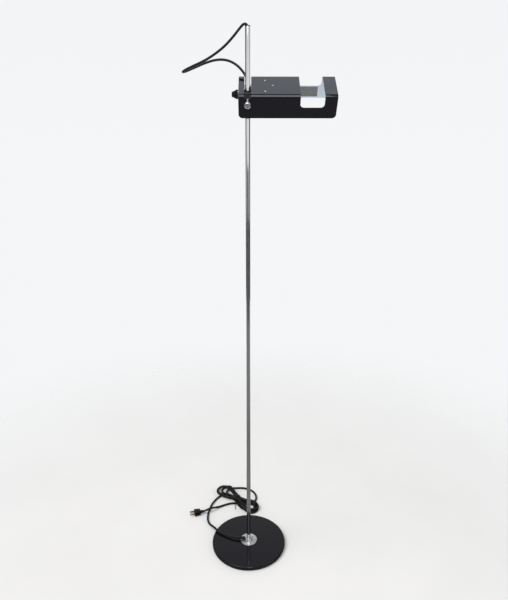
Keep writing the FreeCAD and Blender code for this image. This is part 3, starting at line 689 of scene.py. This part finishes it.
def hank_route():
    """The cord's turns through the tie and the loose turn, in the lamp's frame, before they are laid down."""
    points = list(HANK_ENTRY)
    points += hank_turn(*HANK_FIRST_TURN, TIE_PLACES[0], TIE_PLACES[1])
    points += HANK_TO_LOOSE_TURN
    route = [in_hank(p) for p in points]
    route += [Vector(p) for p in LOOSE_TURN_ROUTE]
    points = list(HANK_FROM_LOOSE_TURN)
    for turn, leave, arrive in zip(HANK_TURNS, TIE_PLACES[2:], TIE_PLACES[3:]):
        points += hank_turn(*turn, leave, arrive)
    points += HANK_EXIT
    return route + [in_hank(p) for p in points]


def distances(line):
    """How far along a line each of its points is."""
    return np.concatenate([[0], np.cumsum(np.linalg.norm(np.diff(line, axis=0), axis=1))])


def respaced(points, step):
    """Points the same distance apart along a line of close points."""
    line = np.array([tuple(p) for p in points])
    along = distances(line)
    at = np.linspace(0, along[-1], round(along[-1] / step) + 1)
    return np.stack([np.interp(at, along, line[:, k]) for k in range(3)], axis=1)


def settled(route):
    """The turns laid down: none inside another or the floor, and all of them inside the tie at its waist."""
    line = respaced(spline_points(route), SETTLE_SPACING)
    count = len(line)
    turn = np.array(HANK_FRAME.to_3x3())
    centre = np.array(HANK_FRAME.translation)
    line = (line - centre) @ turn
    held = [0, 1, 2, -3, -2, -1]
    ends = line[held].copy()
    apart = np.abs(np.subtract.outer(np.arange(count), np.arange(count)))
    far_along = np.triu(apart > SETTLE_NEIGHBOURS)
    laid = line[:, :2].copy()
    run = np.linalg.norm(np.diff(line, axis=0), axis=1)
    for step in range(SETTLE_STEPS):
        middle = (line[:-2] + line[2:]) / 2
        wider = (line[:-4] + line[4:]) / 2
        line[1:-1] += SETTLE_SMOOTH * (middle - line[1:-1])
        line[2:-2] += SETTLE_STIFF * (wider - line[2:-2])
        line[:, :2] += SETTLE_HOLD * (laid - line[:, :2])
        line[:, 2] -= SETTLE_FALL
        for again in range(SETTLE_STRETCHES):
            between = line[1:] - line[:-1]
            length = np.linalg.norm(between, axis=1)
            change = between * (0.5 * (1 - run / length))[:, None]
            line[:-1] += SETTLE_STRETCH * change
            line[1:] -= SETTLE_STRETCH * change
        gap = line[:, None, :] - line[None, :, :]
        distance = np.sqrt((gap ** 2).sum(2)) + 1e-9
        i, j = np.nonzero(far_along & (distance < SETTLE_APART))
        push = gap[i, j] * (SETTLE_PUSH * (SETTLE_APART / distance[i, j] - 1))[:, None]
        np.add.at(line, i, push)
        np.add.at(line, j, -push)
        at_tie = np.abs(line[:, 0]) < TIE_HALF_LENGTH
        inside = at_tie & (np.abs(line[:, 1]) < TIE_ROOM[0] * 3)
        line[inside, 1] = np.clip(line[inside, 1], -TIE_ROOM[0], TIE_ROOM[0])
        line[inside, 2] = np.clip(line[inside, 2], TIE_ROOM[1], TIE_ROOM[2])
        line[:, 2] = np.clip(line[:, 2], FLOOR_Z, HANK_HIGHEST)
        line[held] = ends
    keep = np.linspace(0, count - 1, round(count / SETTLE_KEEP)).astype(int)
    return [Vector(p) for p in line[keep] @ turn.T + centre]


def make_mains_cord():
    """The mains cord: over the base, along the floor, through the tied hank and out to the plug."""
    data = bpy.data.curves.new("mains_flex", "CURVE")
    route = [Vector(p) for p in MAINS_ROUTE]
    to_plug = [Vector(p) for p in reversed(PLUG_ROUTE)]
    route += settled([*route[-2:], *hank_route(), *to_plug[:2]])[3:-3] + to_plug
    nurbs_line(data, route)
    data.bevel_depth = MAINS_R
    data.bevel_resolution = MAINS_ROUNDNESS
    data.use_fill_caps = True
    return add_object("mains_flex", data, "stand", "cord_black", ["mains_cord", "cord_hank", "plug_cord"])


def make_head_cord():
    """The loose loop from the stem's top to the head."""
    path = spline_points(HEAD_CORD_ROUTE)
    mesh = mesh_from("head_flex", *tube(path, HEAD_CORD_R, HEAD_CORD_SIDES))
    flex = add_object("head_flex", mesh, None, "cord_black", ["head_cord"])
    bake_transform(flex)


# ---- turned pieces ----

def softened(profile, steps):
    """A profile of (radius, height) points with its corners rounded by the third number, if there is one."""
    points = [Vector((p[0], p[1])) for p in profile]
    made = [points[0]]
    for k in range(1, len(points) - 1):
        here = points[k]
        back = points[k - 1] - here
        on = points[k + 1] - here
        size = profile[k][2] if len(profile[k]) > 2 else 0
        if not size or not back.length or not on.length:
            made.append(here)
            continue
        reach = min(size, 0.48 * back.length, 0.48 * on.length)
        start = here + back.normalized() * reach
        end = here + on.normalized() * reach
        for step in range(steps + 1):
            share = step / steps
            made.append(start * (1 - share) ** 2 + here * 2 * share * (1 - share) + end * share ** 2)
    made.append(points[-1])
    return [(p.x, p.y) for p in made]


def along_axis(origin, direction):
    """The frame whose Z runs along a direction from an origin."""
    return Matrix.Translation(origin) @ Vector(direction).to_track_quat("Z", "Y").to_matrix().to_4x4()


def lathe(name, profile, place, sides, steps=4, closed=False, flute=None, sharp=35):
    """A turned mesh from a profile in mm, which may close on its first point; flute reshapes the radius."""
    outline = softened([*profile, profile[0]], steps)[:-1] if closed else softened(profile, steps)
    vertices, faces, rings = [], [], []
    for radius, height in outline:
        if radius < 1e-6:
            rings.append([len(vertices)])
            vertices.append((0, 0, height * MM))
            continue
        rings.append(range(len(vertices), len(vertices) + sides))
        for k in range(sides):
            angle = math.tau * k / sides
            r = (flute(radius, height, angle) if flute else radius) * MM
            vertices.append((r * math.cos(angle), r * math.sin(angle), height * MM))
    pairs = list(zip(rings, rings[1:]))
    if closed:
        pairs.append((rings[-1], rings[0]))
    for low, high in pairs:
        if len(low) == len(high) == 1:
            continue
        for k in range(sides):
            after = (k + 1) % sides
            if len(low) == 1:
                faces.append((low[0], high[after], high[k]))
            elif len(high) == 1:
                faces.append((low[k], low[after], high[0]))
            else:
                faces.append((low[k], low[after], high[after], high[k]))
    mesh = mesh_from(name, [place @ Vector(v) for v in vertices], faces, math.radians(sharp))
    face_outward(mesh)
    return mesh


def face_outward(mesh):
    """Turn a closed mesh's faces outward."""
    work = bmesh.new()
    work.from_mesh(mesh)
    bmesh.ops.recalc_face_normals(work, faces=work.faces)
    work.to_mesh(mesh)
    work.free()


def carved(mesh, cutters):
    """A mesh with other closed meshes cut out of it."""
    piece = placed("carved", mesh)
    helpers = [placed("cutter", cutter) for cutter in cutters]
    for helper in helpers:
        cut = piece.modifiers.new("cut", "BOOLEAN")
        cut.operation = "DIFFERENCE"
        cut.solver = "EXACT"
        cut.object = helper
    made = mesh_of(piece)
    made.name = mesh.name
    made.set_sharp_from_angle(angle=math.radians(35))
    for helper in [piece, *helpers]:
        bpy.data.objects.remove(helper)
    return made


def block_mesh(name, low, high, place):
    """A box between two corners, in millimetres, in a frame."""
    vertices = [(x, y, z) for x in (low[0], high[0]) for y in (low[1], high[1]) for z in (low[2], high[2])]
    faces = [(0, 1, 3, 2), (4, 6, 7, 5), (0, 4, 5, 1), (2, 3, 7, 6), (0, 2, 6, 4), (1, 5, 7, 3)]
    mesh = mesh_from(name, [place @ (Vector(v) * MM) for v in vertices], faces)
    face_outward(mesh)
    return mesh


def stand_for(node, mesh):
    """A made piece in place of a CAD node: it takes the node's body and material slot."""
    return add_object(node + "_made", mesh, BODY_OF[node], SLOT_OF[node], [node])


def lathed(node, *shape, **options):
    """A turned piece in place of a CAD node."""
    return stand_for(node, lathe(node, *shape, **options))


def smooth_over(piece, width=0.0):
    """A small bevel on a piece's edges, and normals that follow its large faces."""
    if width:
        bevel = piece.modifiers.new("edges", "BEVEL")
        bevel.width = width
        bevel.segments = 2
        bevel.limit_method = "ANGLE"
        bevel.angle_limit = math.radians(30)
    piece.modifiers.new("normals", "WEIGHTED_NORMAL").keep_sharp = True


def soften_chrome(piece):
    """Give a chromed piece the softer chrome."""
    for slot in piece.material_slots:
        slot.material = MATERIALS["turned_chrome"]


def make_base():
    """The lacquered cover with its rolled edge."""
    inside, under = BASE_R - COVER_WALL, COVER_TOP - COVER_WALL
    profile = [
        (HOLE_R, under), (HOLE_R, COVER_TOP), (BASE_R, COVER_TOP, 3.2), (BASE_R, COVER_FOOT, 0.3),
        (inside, COVER_FOOT), (inside, under, 1.6),
    ]
    lathed("base_cover", profile, Matrix(), 192, steps=8, closed=True, sharp=50)


def make_hub():
    """The chromed flange with its step, and the boss that takes the stem."""
    flange = [
        (HOLE_R, COVER_TOP), (HOLE_R, FLANGE_TOP), (19.5, FLANGE_TOP, 0.5), (20.3, 13.45, 0.3),
        (25.2, 13.4, 0.4), (26.0, 12.7, 0.4), (26.0, COVER_TOP),
    ]
    soften_chrome(lathed("hub_flange", flange, Matrix(), 128, closed=True))
    boss = [
        (HOLE_R, FLANGE_TOP), (HOLE_R, BOSS_TOP, 0.4), (12.5, BOSS_TOP, 2.4), (12.5, 14.9, 0.3),
        (12.1, FLANGE_TOP),
    ]
    mesh = lathe("hub_boss", boss, Matrix(), 96, closed=True)
    holes = []
    for radius, way, sides in ((4.2, Vector((-1, 0, 0)), 48), (2.0, Vector((0, 1, 0)), 32)):
        place = along_axis((way * 4 + UP * CORD_EXIT_Z) * MM, way)
        holes.append(lathe("hole", [(0, 0), (radius, 0), (radius, 12), (0, 12)], place, sides))
    soften_chrome(stand_for("hub_boss", carved(mesh, holes)))


def make_grommet():
    """The strain relief: soft rings, each narrower than the last, that end in a thin lip round the cord."""
    profile = [(0, 0), (4.15, 0), (4.15, 5.0), (4.7, 5.2, 0.3), (4.7, 6.6, 0.5)]
    for k in range(5):
        start = 7.0 + 4.3 * k
        radius = 4.35 - 0.14 * k
        profile += [(radius - 0.45, start + 0.3, 0.4), (radius - 0.45, start + 1.2, 0.4)]
        profile += [(radius, start + 1.6, 0.5), (radius - 0.1, start + 4.0, 0.5)]
    profile += [(3.6, 29.4, 0.3), (3.35, 30.3, 0.2), (0, 30.3)]
    place = along_axis(Vector((GROMMET_X, 0, CORD_EXIT_Z)) * MM, (-1, 0, 0))
    return lathed("cord_grommet", profile, place, 48, steps=3, sharp=70)


def make_stem():
    """The chromed tube and the bush in its top."""
    wall = [(STEM_BORE_R, STEM_FOOT), (STEM_R, STEM_FOOT, 0.2), (STEM_R, STEM_TOP, 0.3)]
    wall.append((STEM_BORE_R, STEM_TOP))
    lathed("stem_tube", wall, Matrix(), 96, closed=True)
    under, over = STEM_TOP + 0.1, STEM_TOP + 1.9
    bush = [
        (3.05, BUSH_FOOT), (4.95, BUSH_FOOT), (4.95, under), (6.7, under, 0.2), (6.7, under + 1.0, 0.5),
        (5.6, over, 0.5), (3.05, over, 0.3),
    ]
    lathed("stem_top_bush", bush, Matrix(), 64, closed=True)


def make_knobs():
    """The pear-shaped clamp knob with its washer, and the fluted end knob with its washer."""
    wall = HEAD_FRAME @ (Vector((0, HEAD_FRONT, KNOB_AXIS_Z)) * MM)
    front = along_axis(wall, KNOB_DIRECTION)
    knob = [
        (0, 8.1), (2.55, 8.1), (2.55, 1.6, 0.2), (4.5, 1.6, 0.3), (4.9, 2.4, 0.5), (4.9, 5.2, 0.8),
        (4.45, 7.4, 1.2), (4.6, 9.8, 1.5), (5.8, 13.6, 2.0), (7.1, 17.4, 2.0), (7.95, 21.2, 2.0),
        (8.05, 23.9, 1.6), (7.2, 26.4, 1.6), (4.6, 27.75, 1.6), (0, 27.9),
    ]
    lathed("clamp_knob", knob, front, 96, steps=5, sharp=60)
    washer = [(2.75, 0.1), (6.0, 0.1, 0.1), (6.0, 0.9, 0.4), (5.4, 1.3, 0.2), (2.75, 1.3)]
    lathed("clamp_washer", washer, front, 64, closed=True)

    side = along_axis(PIVOT + Vector((HEAD_LEFT * MM, 0, 0)), (-1, 0, 0))
    ring = [(3.1, 0.2), (10.4, 0.2, 0.1), (10.4, 1.0, 0.4), (9.8, 1.6, 0.2), (3.1, 1.6)]
    lathed("end_washer", ring, side, 96, closed=True)
    foot = 1.9
    profile = [
        (0, 13.0), (3.0, 13.0), (3.0, foot), (10.6, foot, 0.4), (11.2, 2.6, 0.4), (11.2, 4.4, 0.8),
        (8.6, 9.6, 1.5), (6.6, 13.4, 1.5), (6.3, 15.6, 0.8), (5.3, 16.5, 0.6), (0, 16.6),
    ]

    def flute(radius, height, angle):
        share = (radius - FLUTE_START_R) / (FLUTE_FULL_R - FLUTE_START_R)
        return radius - FLUTE_DEPTH * max(0, min(1, share)) * max(0, math.cos(FLUTES * angle)) ** 3

    lathed("end_knob", profile, side, 192, steps=5, flute=flute, sharp=60)


def make_lamp():
    """The ribbed lampholder body and the bulb's glass."""
    axis = along_axis(HEAD_FRAME @ (Vector((0, LAMP_Y, LAMP_Z)) * MM), (1, 0, 0))
    rib, groove = 19.5, 18.8
    body = [
        (4.6, 33.6), (12.0, 33.6, 0.4), (14.5, 36.0, 1.0), (15.0, 44.0, 2.0), (19.0, 51.0, 2.0),
        (rib, 53.0, 0.5),
    ]
    for k in range(5):
        start = 55.0 + 4.4 * k
        body += [(rib, start, 0.3), (groove, start + 0.5, 0.3)]
        body += [(groove, start + 1.3, 0.3), (rib, start + 1.8, 0.3)]
    body += [
        (rib, 79.2, 0.4), (18.5, 80.0, 0.4), (17.2, 80.0, 0.2), (17.2, 53.5), (13.0, 46.0), (12.5, 38.0),
        (4.6, 36.5),
    ]
    lathed("lampholder_body", body, axis, 96, steps=3, closed=True)

    glass = [(0, 82.1), (12.4, 82.1, 0.4), (13.0, 84.0, 0.8)]
    for step in range(BULB_STEPS):
        angle = math.radians(BULB_OPENING * (1 - step / BULB_STEPS))
        glass.append((BULB_R * math.sin(angle), BULB_END - BULB_R + BULB_R * math.cos(angle)))
    glass.append((0, BULB_END))
    lathed("bulb_glass", glass, axis, 96, sharp=80)


def make_screws():
    """The domed slotted screws on the head's top."""
    profile = [
        (0, -7.9), (1.5, -7.9), (1.5, 0.0), (2.7, 0.0, 0.1), (2.65, 0.35, 0.3), (1.9, 1.15, 0.7), (0, 1.45),
    ]
    screws = bmesh.new()
    for index, (x, y) in enumerate(SCREW_PLACES):
        place = HEAD_FRAME @ Matrix.Translation(Vector((x, y, HEAD_TOP)) * MM)
        place = place @ Matrix.Rotation(math.radians(37 + 68 * index), 4, "Z")
        slot = block_mesh("slot", (-4, -0.35, 0.7), (4, 0.35, 3), place)
        screws.from_mesh(carved(lathe("screw", profile, place, 48), [slot]))
    stand_for("bracket_screws", made_from(screws, "bracket_screws"))


# ---- the folded head ----

def rounded_outline(left, low, right, high, radii):
    """A rectangle in the flat sheet with rounded corners, anticlockwise; radii start at the lower left."""
    corners = ((left, low, 180), (right, low, 270), (right, high, 0), (left, high, 90))
    points = []
    for (x, u, first), radius in zip(corners, radii):
        centre_x = x + radius if x == left else x - radius
        centre_u = u + radius if u == low else u - radius
        for step in range(CORNER_STEPS + 1):
            angle = math.radians(first + 90 * step / CORNER_STEPS)
            points.append(Vector((centre_x + radius * math.cos(angle), centre_u + radius * math.sin(angle))))
    return points


def moved_in(loop, distance):
    """An anticlockwise loop drawn in towards its inside by a distance; a negative one draws it out."""
    made = []
    for before, here, after in zip(loop[-1:] + loop[:-1], loop, loop[1:] + loop[:1]):
        first = (here - before).normalized()
        second = (after - here).normalized()
        inward = Vector((-first.y - second.y, first.x + second.x)).normalized()
        made.append(here + inward * (distance / max(0.5, inward.dot(Vector((-first.y, first.x))))))
    return made


def folded(x, u, depth):
    """Where a point of the flat sheet, at a depth in it, comes to when the sheet is folded."""
    back = HEAD_FRONT + HEAD_WIDTH
    bend_z = HEAD_TOP - BEND_R
    near = BEND_R - depth
    if u < WALL_FLAT:
        return x, HEAD_FRONT + depth, bend_z - WALL_FLAT + u
    u -= WALL_FLAT
    if u < BEND_FLAT:
        angle = u / BEND_R
        return x, HEAD_FRONT + BEND_R - near * math.cos(angle), bend_z + near * math.sin(angle)
    u -= BEND_FLAT
    if u < TOP_FLAT:
        return x, HEAD_FRONT + BEND_R + u, HEAD_TOP - depth
    u -= TOP_FLAT
    if u < BEND_FLAT:
        angle = u / BEND_R
        return x, back - BEND_R + near * math.sin(angle), bend_z + near * math.cos(angle)
    return x, back - depth, bend_z - (u - BEND_FLAT)


def make_head_shell():
    """One sheet with a window and a slot cut in it, folded twice; lacquered outside and enamelled inside."""
    whole = 2 * WALL_FLAT + 2 * BEND_FLAT + TOP_FLAT
    right = HEAD_LEFT + HEAD_LENGTH
    sheet = rounded_outline(HEAD_LEFT, 0, right, whole, [WALL_CORNER_R] * 4)
    window = rounded_outline(
        HEAD_LEFT + WINDOW_LEFT,
        HEAD_DEPTH - WINDOW_DEPTH,
        HEAD_LEFT + WINDOW_RIGHT,
        whole - HEAD_DEPTH + WINDOW_BACK_DEPTH,
        [WINDOW_CORNER_R] * 4,
    )
    slot = rounded_outline(
        -SLOT_HALF,
        WALL_FLAT + SLOT_START,
        SLOT_HALF,
        whole - HEAD_DEPTH + SLOT_BACK_DEPTH,
        [SLOT_CORNER_R] * 2 + [SLOT_END_R] * 2,
    )
    loops = [(sheet, 1), (window, -1), (slot, -1)]
    levels = []
    for step in range(RIM_STEPS + 1):
        angle = math.radians(90 * step / RIM_STEPS)
        levels.append((RIM_R * (1 - math.sin(angle)), RIM_R * (1 - math.cos(angle))))
    levels += [(inset, SHEET - depth) for inset, depth in reversed(levels)]
    work = bmesh.new()
    borders = []
    for loop, sign in loops:
        rings = []
        for inset, depth in levels:
            rings.append([work.verts.new((p.x, p.y, -depth)) for p in moved_in(loop, sign * inset)])
        for outer, inner in zip(rings, rings[1:]):
            for k in range(len(outer)):
                after = (k + 1) % len(outer)
                corners = (outer[k], inner[k], inner[after], outer[after])
                work.faces.new(corners if sign > 0 else tuple(reversed(corners)))
        borders.append((rings[0], rings[-1]))
    for which in (0, 1):
        edges = []
        for border in borders:
            ring = border[which]
            for a, b in zip(ring, ring[1:] + ring[:1]):
                edges.append(work.edges.get((a, b)))
        bmesh.ops.triangle_fill(work, use_beauty=True, use_dissolve=False, edges=edges)
    lines = []
    for start in (WALL_FLAT, WALL_FLAT + BEND_FLAT + TOP_FLAT):
        lines += [start + BEND_FLAT * step / BEND_STEPS for step in range(BEND_STEPS + 1)]
    for u in lines:
        parts = work.verts[:] + work.edges[:] + work.faces[:]
        bmesh.ops.bisect_plane(work, geom=parts, dist=1e-5, plane_co=(0, u, 0), plane_no=(0, 1, 0))
    bmesh.ops.recalc_face_normals(work, faces=work.faces)
    for face in work.faces:
        depth = sum(-v.co.z for v in face.verts) / len(face.verts)
        face.material_index = 1 if depth > SHEET - RIM_R / 2 else 0
        face.smooth = True
    for vertex in work.verts:
        spot = Vector(folded(vertex.co.x, vertex.co.y, -vertex.co.z)) * MM
        vertex.co = HEAD_FRAME @ spot
    bmesh.ops.recalc_face_normals(work, faces=work.faces)
    mesh = made_from(work, "head_shell")
    mesh.set_sharp_from_angle(angle=math.radians(50))
    shell = stand_for("head_shell", mesh)
    mesh.materials.append(MATERIALS["white_enamel"])
    smooth_over(shell)


# ---- plug and tie ----

def superloft(name, sections, place):
    """A closed skin over rounded-square sections, each (along, half width, half height), in millimetres."""
    vertices = []
    for along, wide, high in sections:
        for k in range(LOFT_SIDES):
            angle = math.tau * k / LOFT_SIDES
            c, s = math.cos(angle), math.sin(angle)
            y = math.copysign(abs(c) ** (2 / LOFT_POWER), c) * wide
            z = math.copysign(abs(s) ** (2 / LOFT_POWER), s) * high
            vertices.append(place @ (Vector((along, y, z)) * MM))
    mesh = mesh_from(name, vertices, skin(len(sections), LOFT_SIDES), math.radians(50))
    face_outward(mesh)
    return mesh


def make_plug():
    """The moulded plug: a waisted body with finger grips, a ribbed boot and two brass blades."""
    place = Matrix.Translation(PLUG_PLACE) @ Matrix.Rotation(PLUG_TURN, 4, "Z")
    sections = [(0.0, 6.0, 4.6), (0.4, 7.2, 6.0), (1.4, 8.4, 7.2), (3.2, 9.6, 7.9)]
    for k in range(4):
        start = 4.6 + 2.7 * k
        swell = 10.1 + 0.22 * k
        sections += [(start, swell, 8.2), (start + 0.5, swell - 0.9, 7.7)]
        sections += [(start + 1.3, swell - 0.9, 7.7), (start + 1.8, swell, 8.25)]
    sections += [(16.0, 10.95, 8.3), (19.8, 11.0, 8.3), (20.6, 10.7, 8.0), (21.0, 10.0, 7.3)]
    stand_for("plug_body", superloft("plug_body", sections, place))

    boot = [(0, -1.0), (5.6, -1.0), (5.6, 0.6, 0.5)]
    for k in range(4):
        start = 1.2 + 3.4 * k
        radius = 5.3 - 0.42 * k
        boot += [(radius - 0.7, start, 0.3), (radius - 0.7, start + 1.0, 0.3)]
        boot += [(radius, start + 1.3, 0.4), (radius - 0.1, start + 2.8, 0.4)]
    boot += [(3.85, 15.3, 0.3), (0, 15.4)]
    boot_place = place @ along_axis((0, 0, 0), (-1, 0, 0.04))
    lathed("plug_boot", boot, boot_place, 48, steps=3, sharp=70)
    smooth_over(NODES["plug_blades"], BLADE_BEVEL)


def make_tie():
    """A flat wire tie drawn round the hank's waist, its two ends twisted together into a tail."""
    half, low, high, corner = 10.9, 0.85, 19.95, 4.0
    middle = (low + high) / 2
    loop = []
    for x, z, first in ((half, high, 0), (-half, high, 90), (-half, low, 180), (half, low, 270)):
        for step in range(9):
            angle = math.radians(first + 90 * step / 8)
            across = x - math.copysign(corner, x) + corner * math.cos(angle)
            up = z - math.copysign(corner, z - middle) + corner * math.sin(angle)
            loop.append((across, up))
    work = bmesh.new()
    section = [(-2.0, -0.35), (-1.5, -0.45), (1.5, -0.45), (2.0, -0.35), (2.1, 0), (2.0, 0.35), (0.7, 0.4)]
    section += [(0.4, 0.75), (-0.4, 0.75), (-0.7, 0.4), (-2.0, 0.35), (-2.1, 0)]
    rings = []
    for k, (t, z) in enumerate(loop):
        before, after = loop[k - 1], loop[(k + 1) % len(loop)]
        outward = Vector((after[1] - before[1], before[0] - after[0])).normalized()
        ring = []
        for across, out in section:
            ring.append(work.verts.new(in_hank((across, t + outward.x * out, z + outward.y * out))))
        rings.append(ring)
    for ring, following in zip(rings, rings[1:] + rings[:1]):
        for k in range(len(section)):
            after = (k + 1) % len(section)
            work.faces.new((ring[k], ring[after], following[after], following[k]))
    centre = spline_points(TIE_TAIL_ROUTE)
    for strand in (0, 1):
        path = []
        for k, here in enumerate(centre):
            way = (centre[min(k + 1, len(centre) - 1)] - centre[max(k - 1, 0)]).normalized()
            across = way.orthogonal().normalized()
            fade = 1 - 0.5 * k / len(centre)
            turn = math.tau * (TIE_TWISTS * k / len(centre) + strand / 2)
            aside = across * math.cos(turn) + way.cross(across) * math.sin(turn)
            path.append(here + aside * TIE_WIRE_R * fade)
        vertices, faces = tube(path, TIE_WIRE_R, TIE_WIRE_SIDES)
        made = [work.verts.new(v) for v in vertices]
        for face in faces:
            work.faces.new([made[k] for k in face])
    bmesh.ops.recalc_face_normals(work, faces=work.faces)
    for face in work.faces:
        face.smooth = True
    mesh = made_from(work, "wire_tie")
    mesh.set_sharp_from_angle(angle=math.radians(50))
    return stand_for("wire_tie", mesh)


def finish_cad_nodes():
    """Small bevels and large-face normals on the CAD nodes that stay in sight."""
    for name in BEVELLED_NODES:
        smooth_over(NODES[name], CAD_BEVEL)
    soften_chrome(NODES["core_rings"])


def main():
    """The camera and the cords first, then the studio and the pieces."""
    make_camera()
    mains = make_mains_cord()
    make_head_cord()
    paint_cad_nodes()
    make_world()
    make_floor()
    for softbox in SOFTBOXES:
        make_softbox(*softbox)
    make_skylight(*SKYLIGHT)
    for flag in FLAGS:
        make_flag(*flag)
    make_mat()
    make_base()
    make_hub()
    grommet = make_grommet()
    make_stem()
    make_knobs()
    make_lamp()
    make_screws()
    make_head_shell()
    make_plug()
    tie = make_tie()
    finish_cad_nodes()


main()
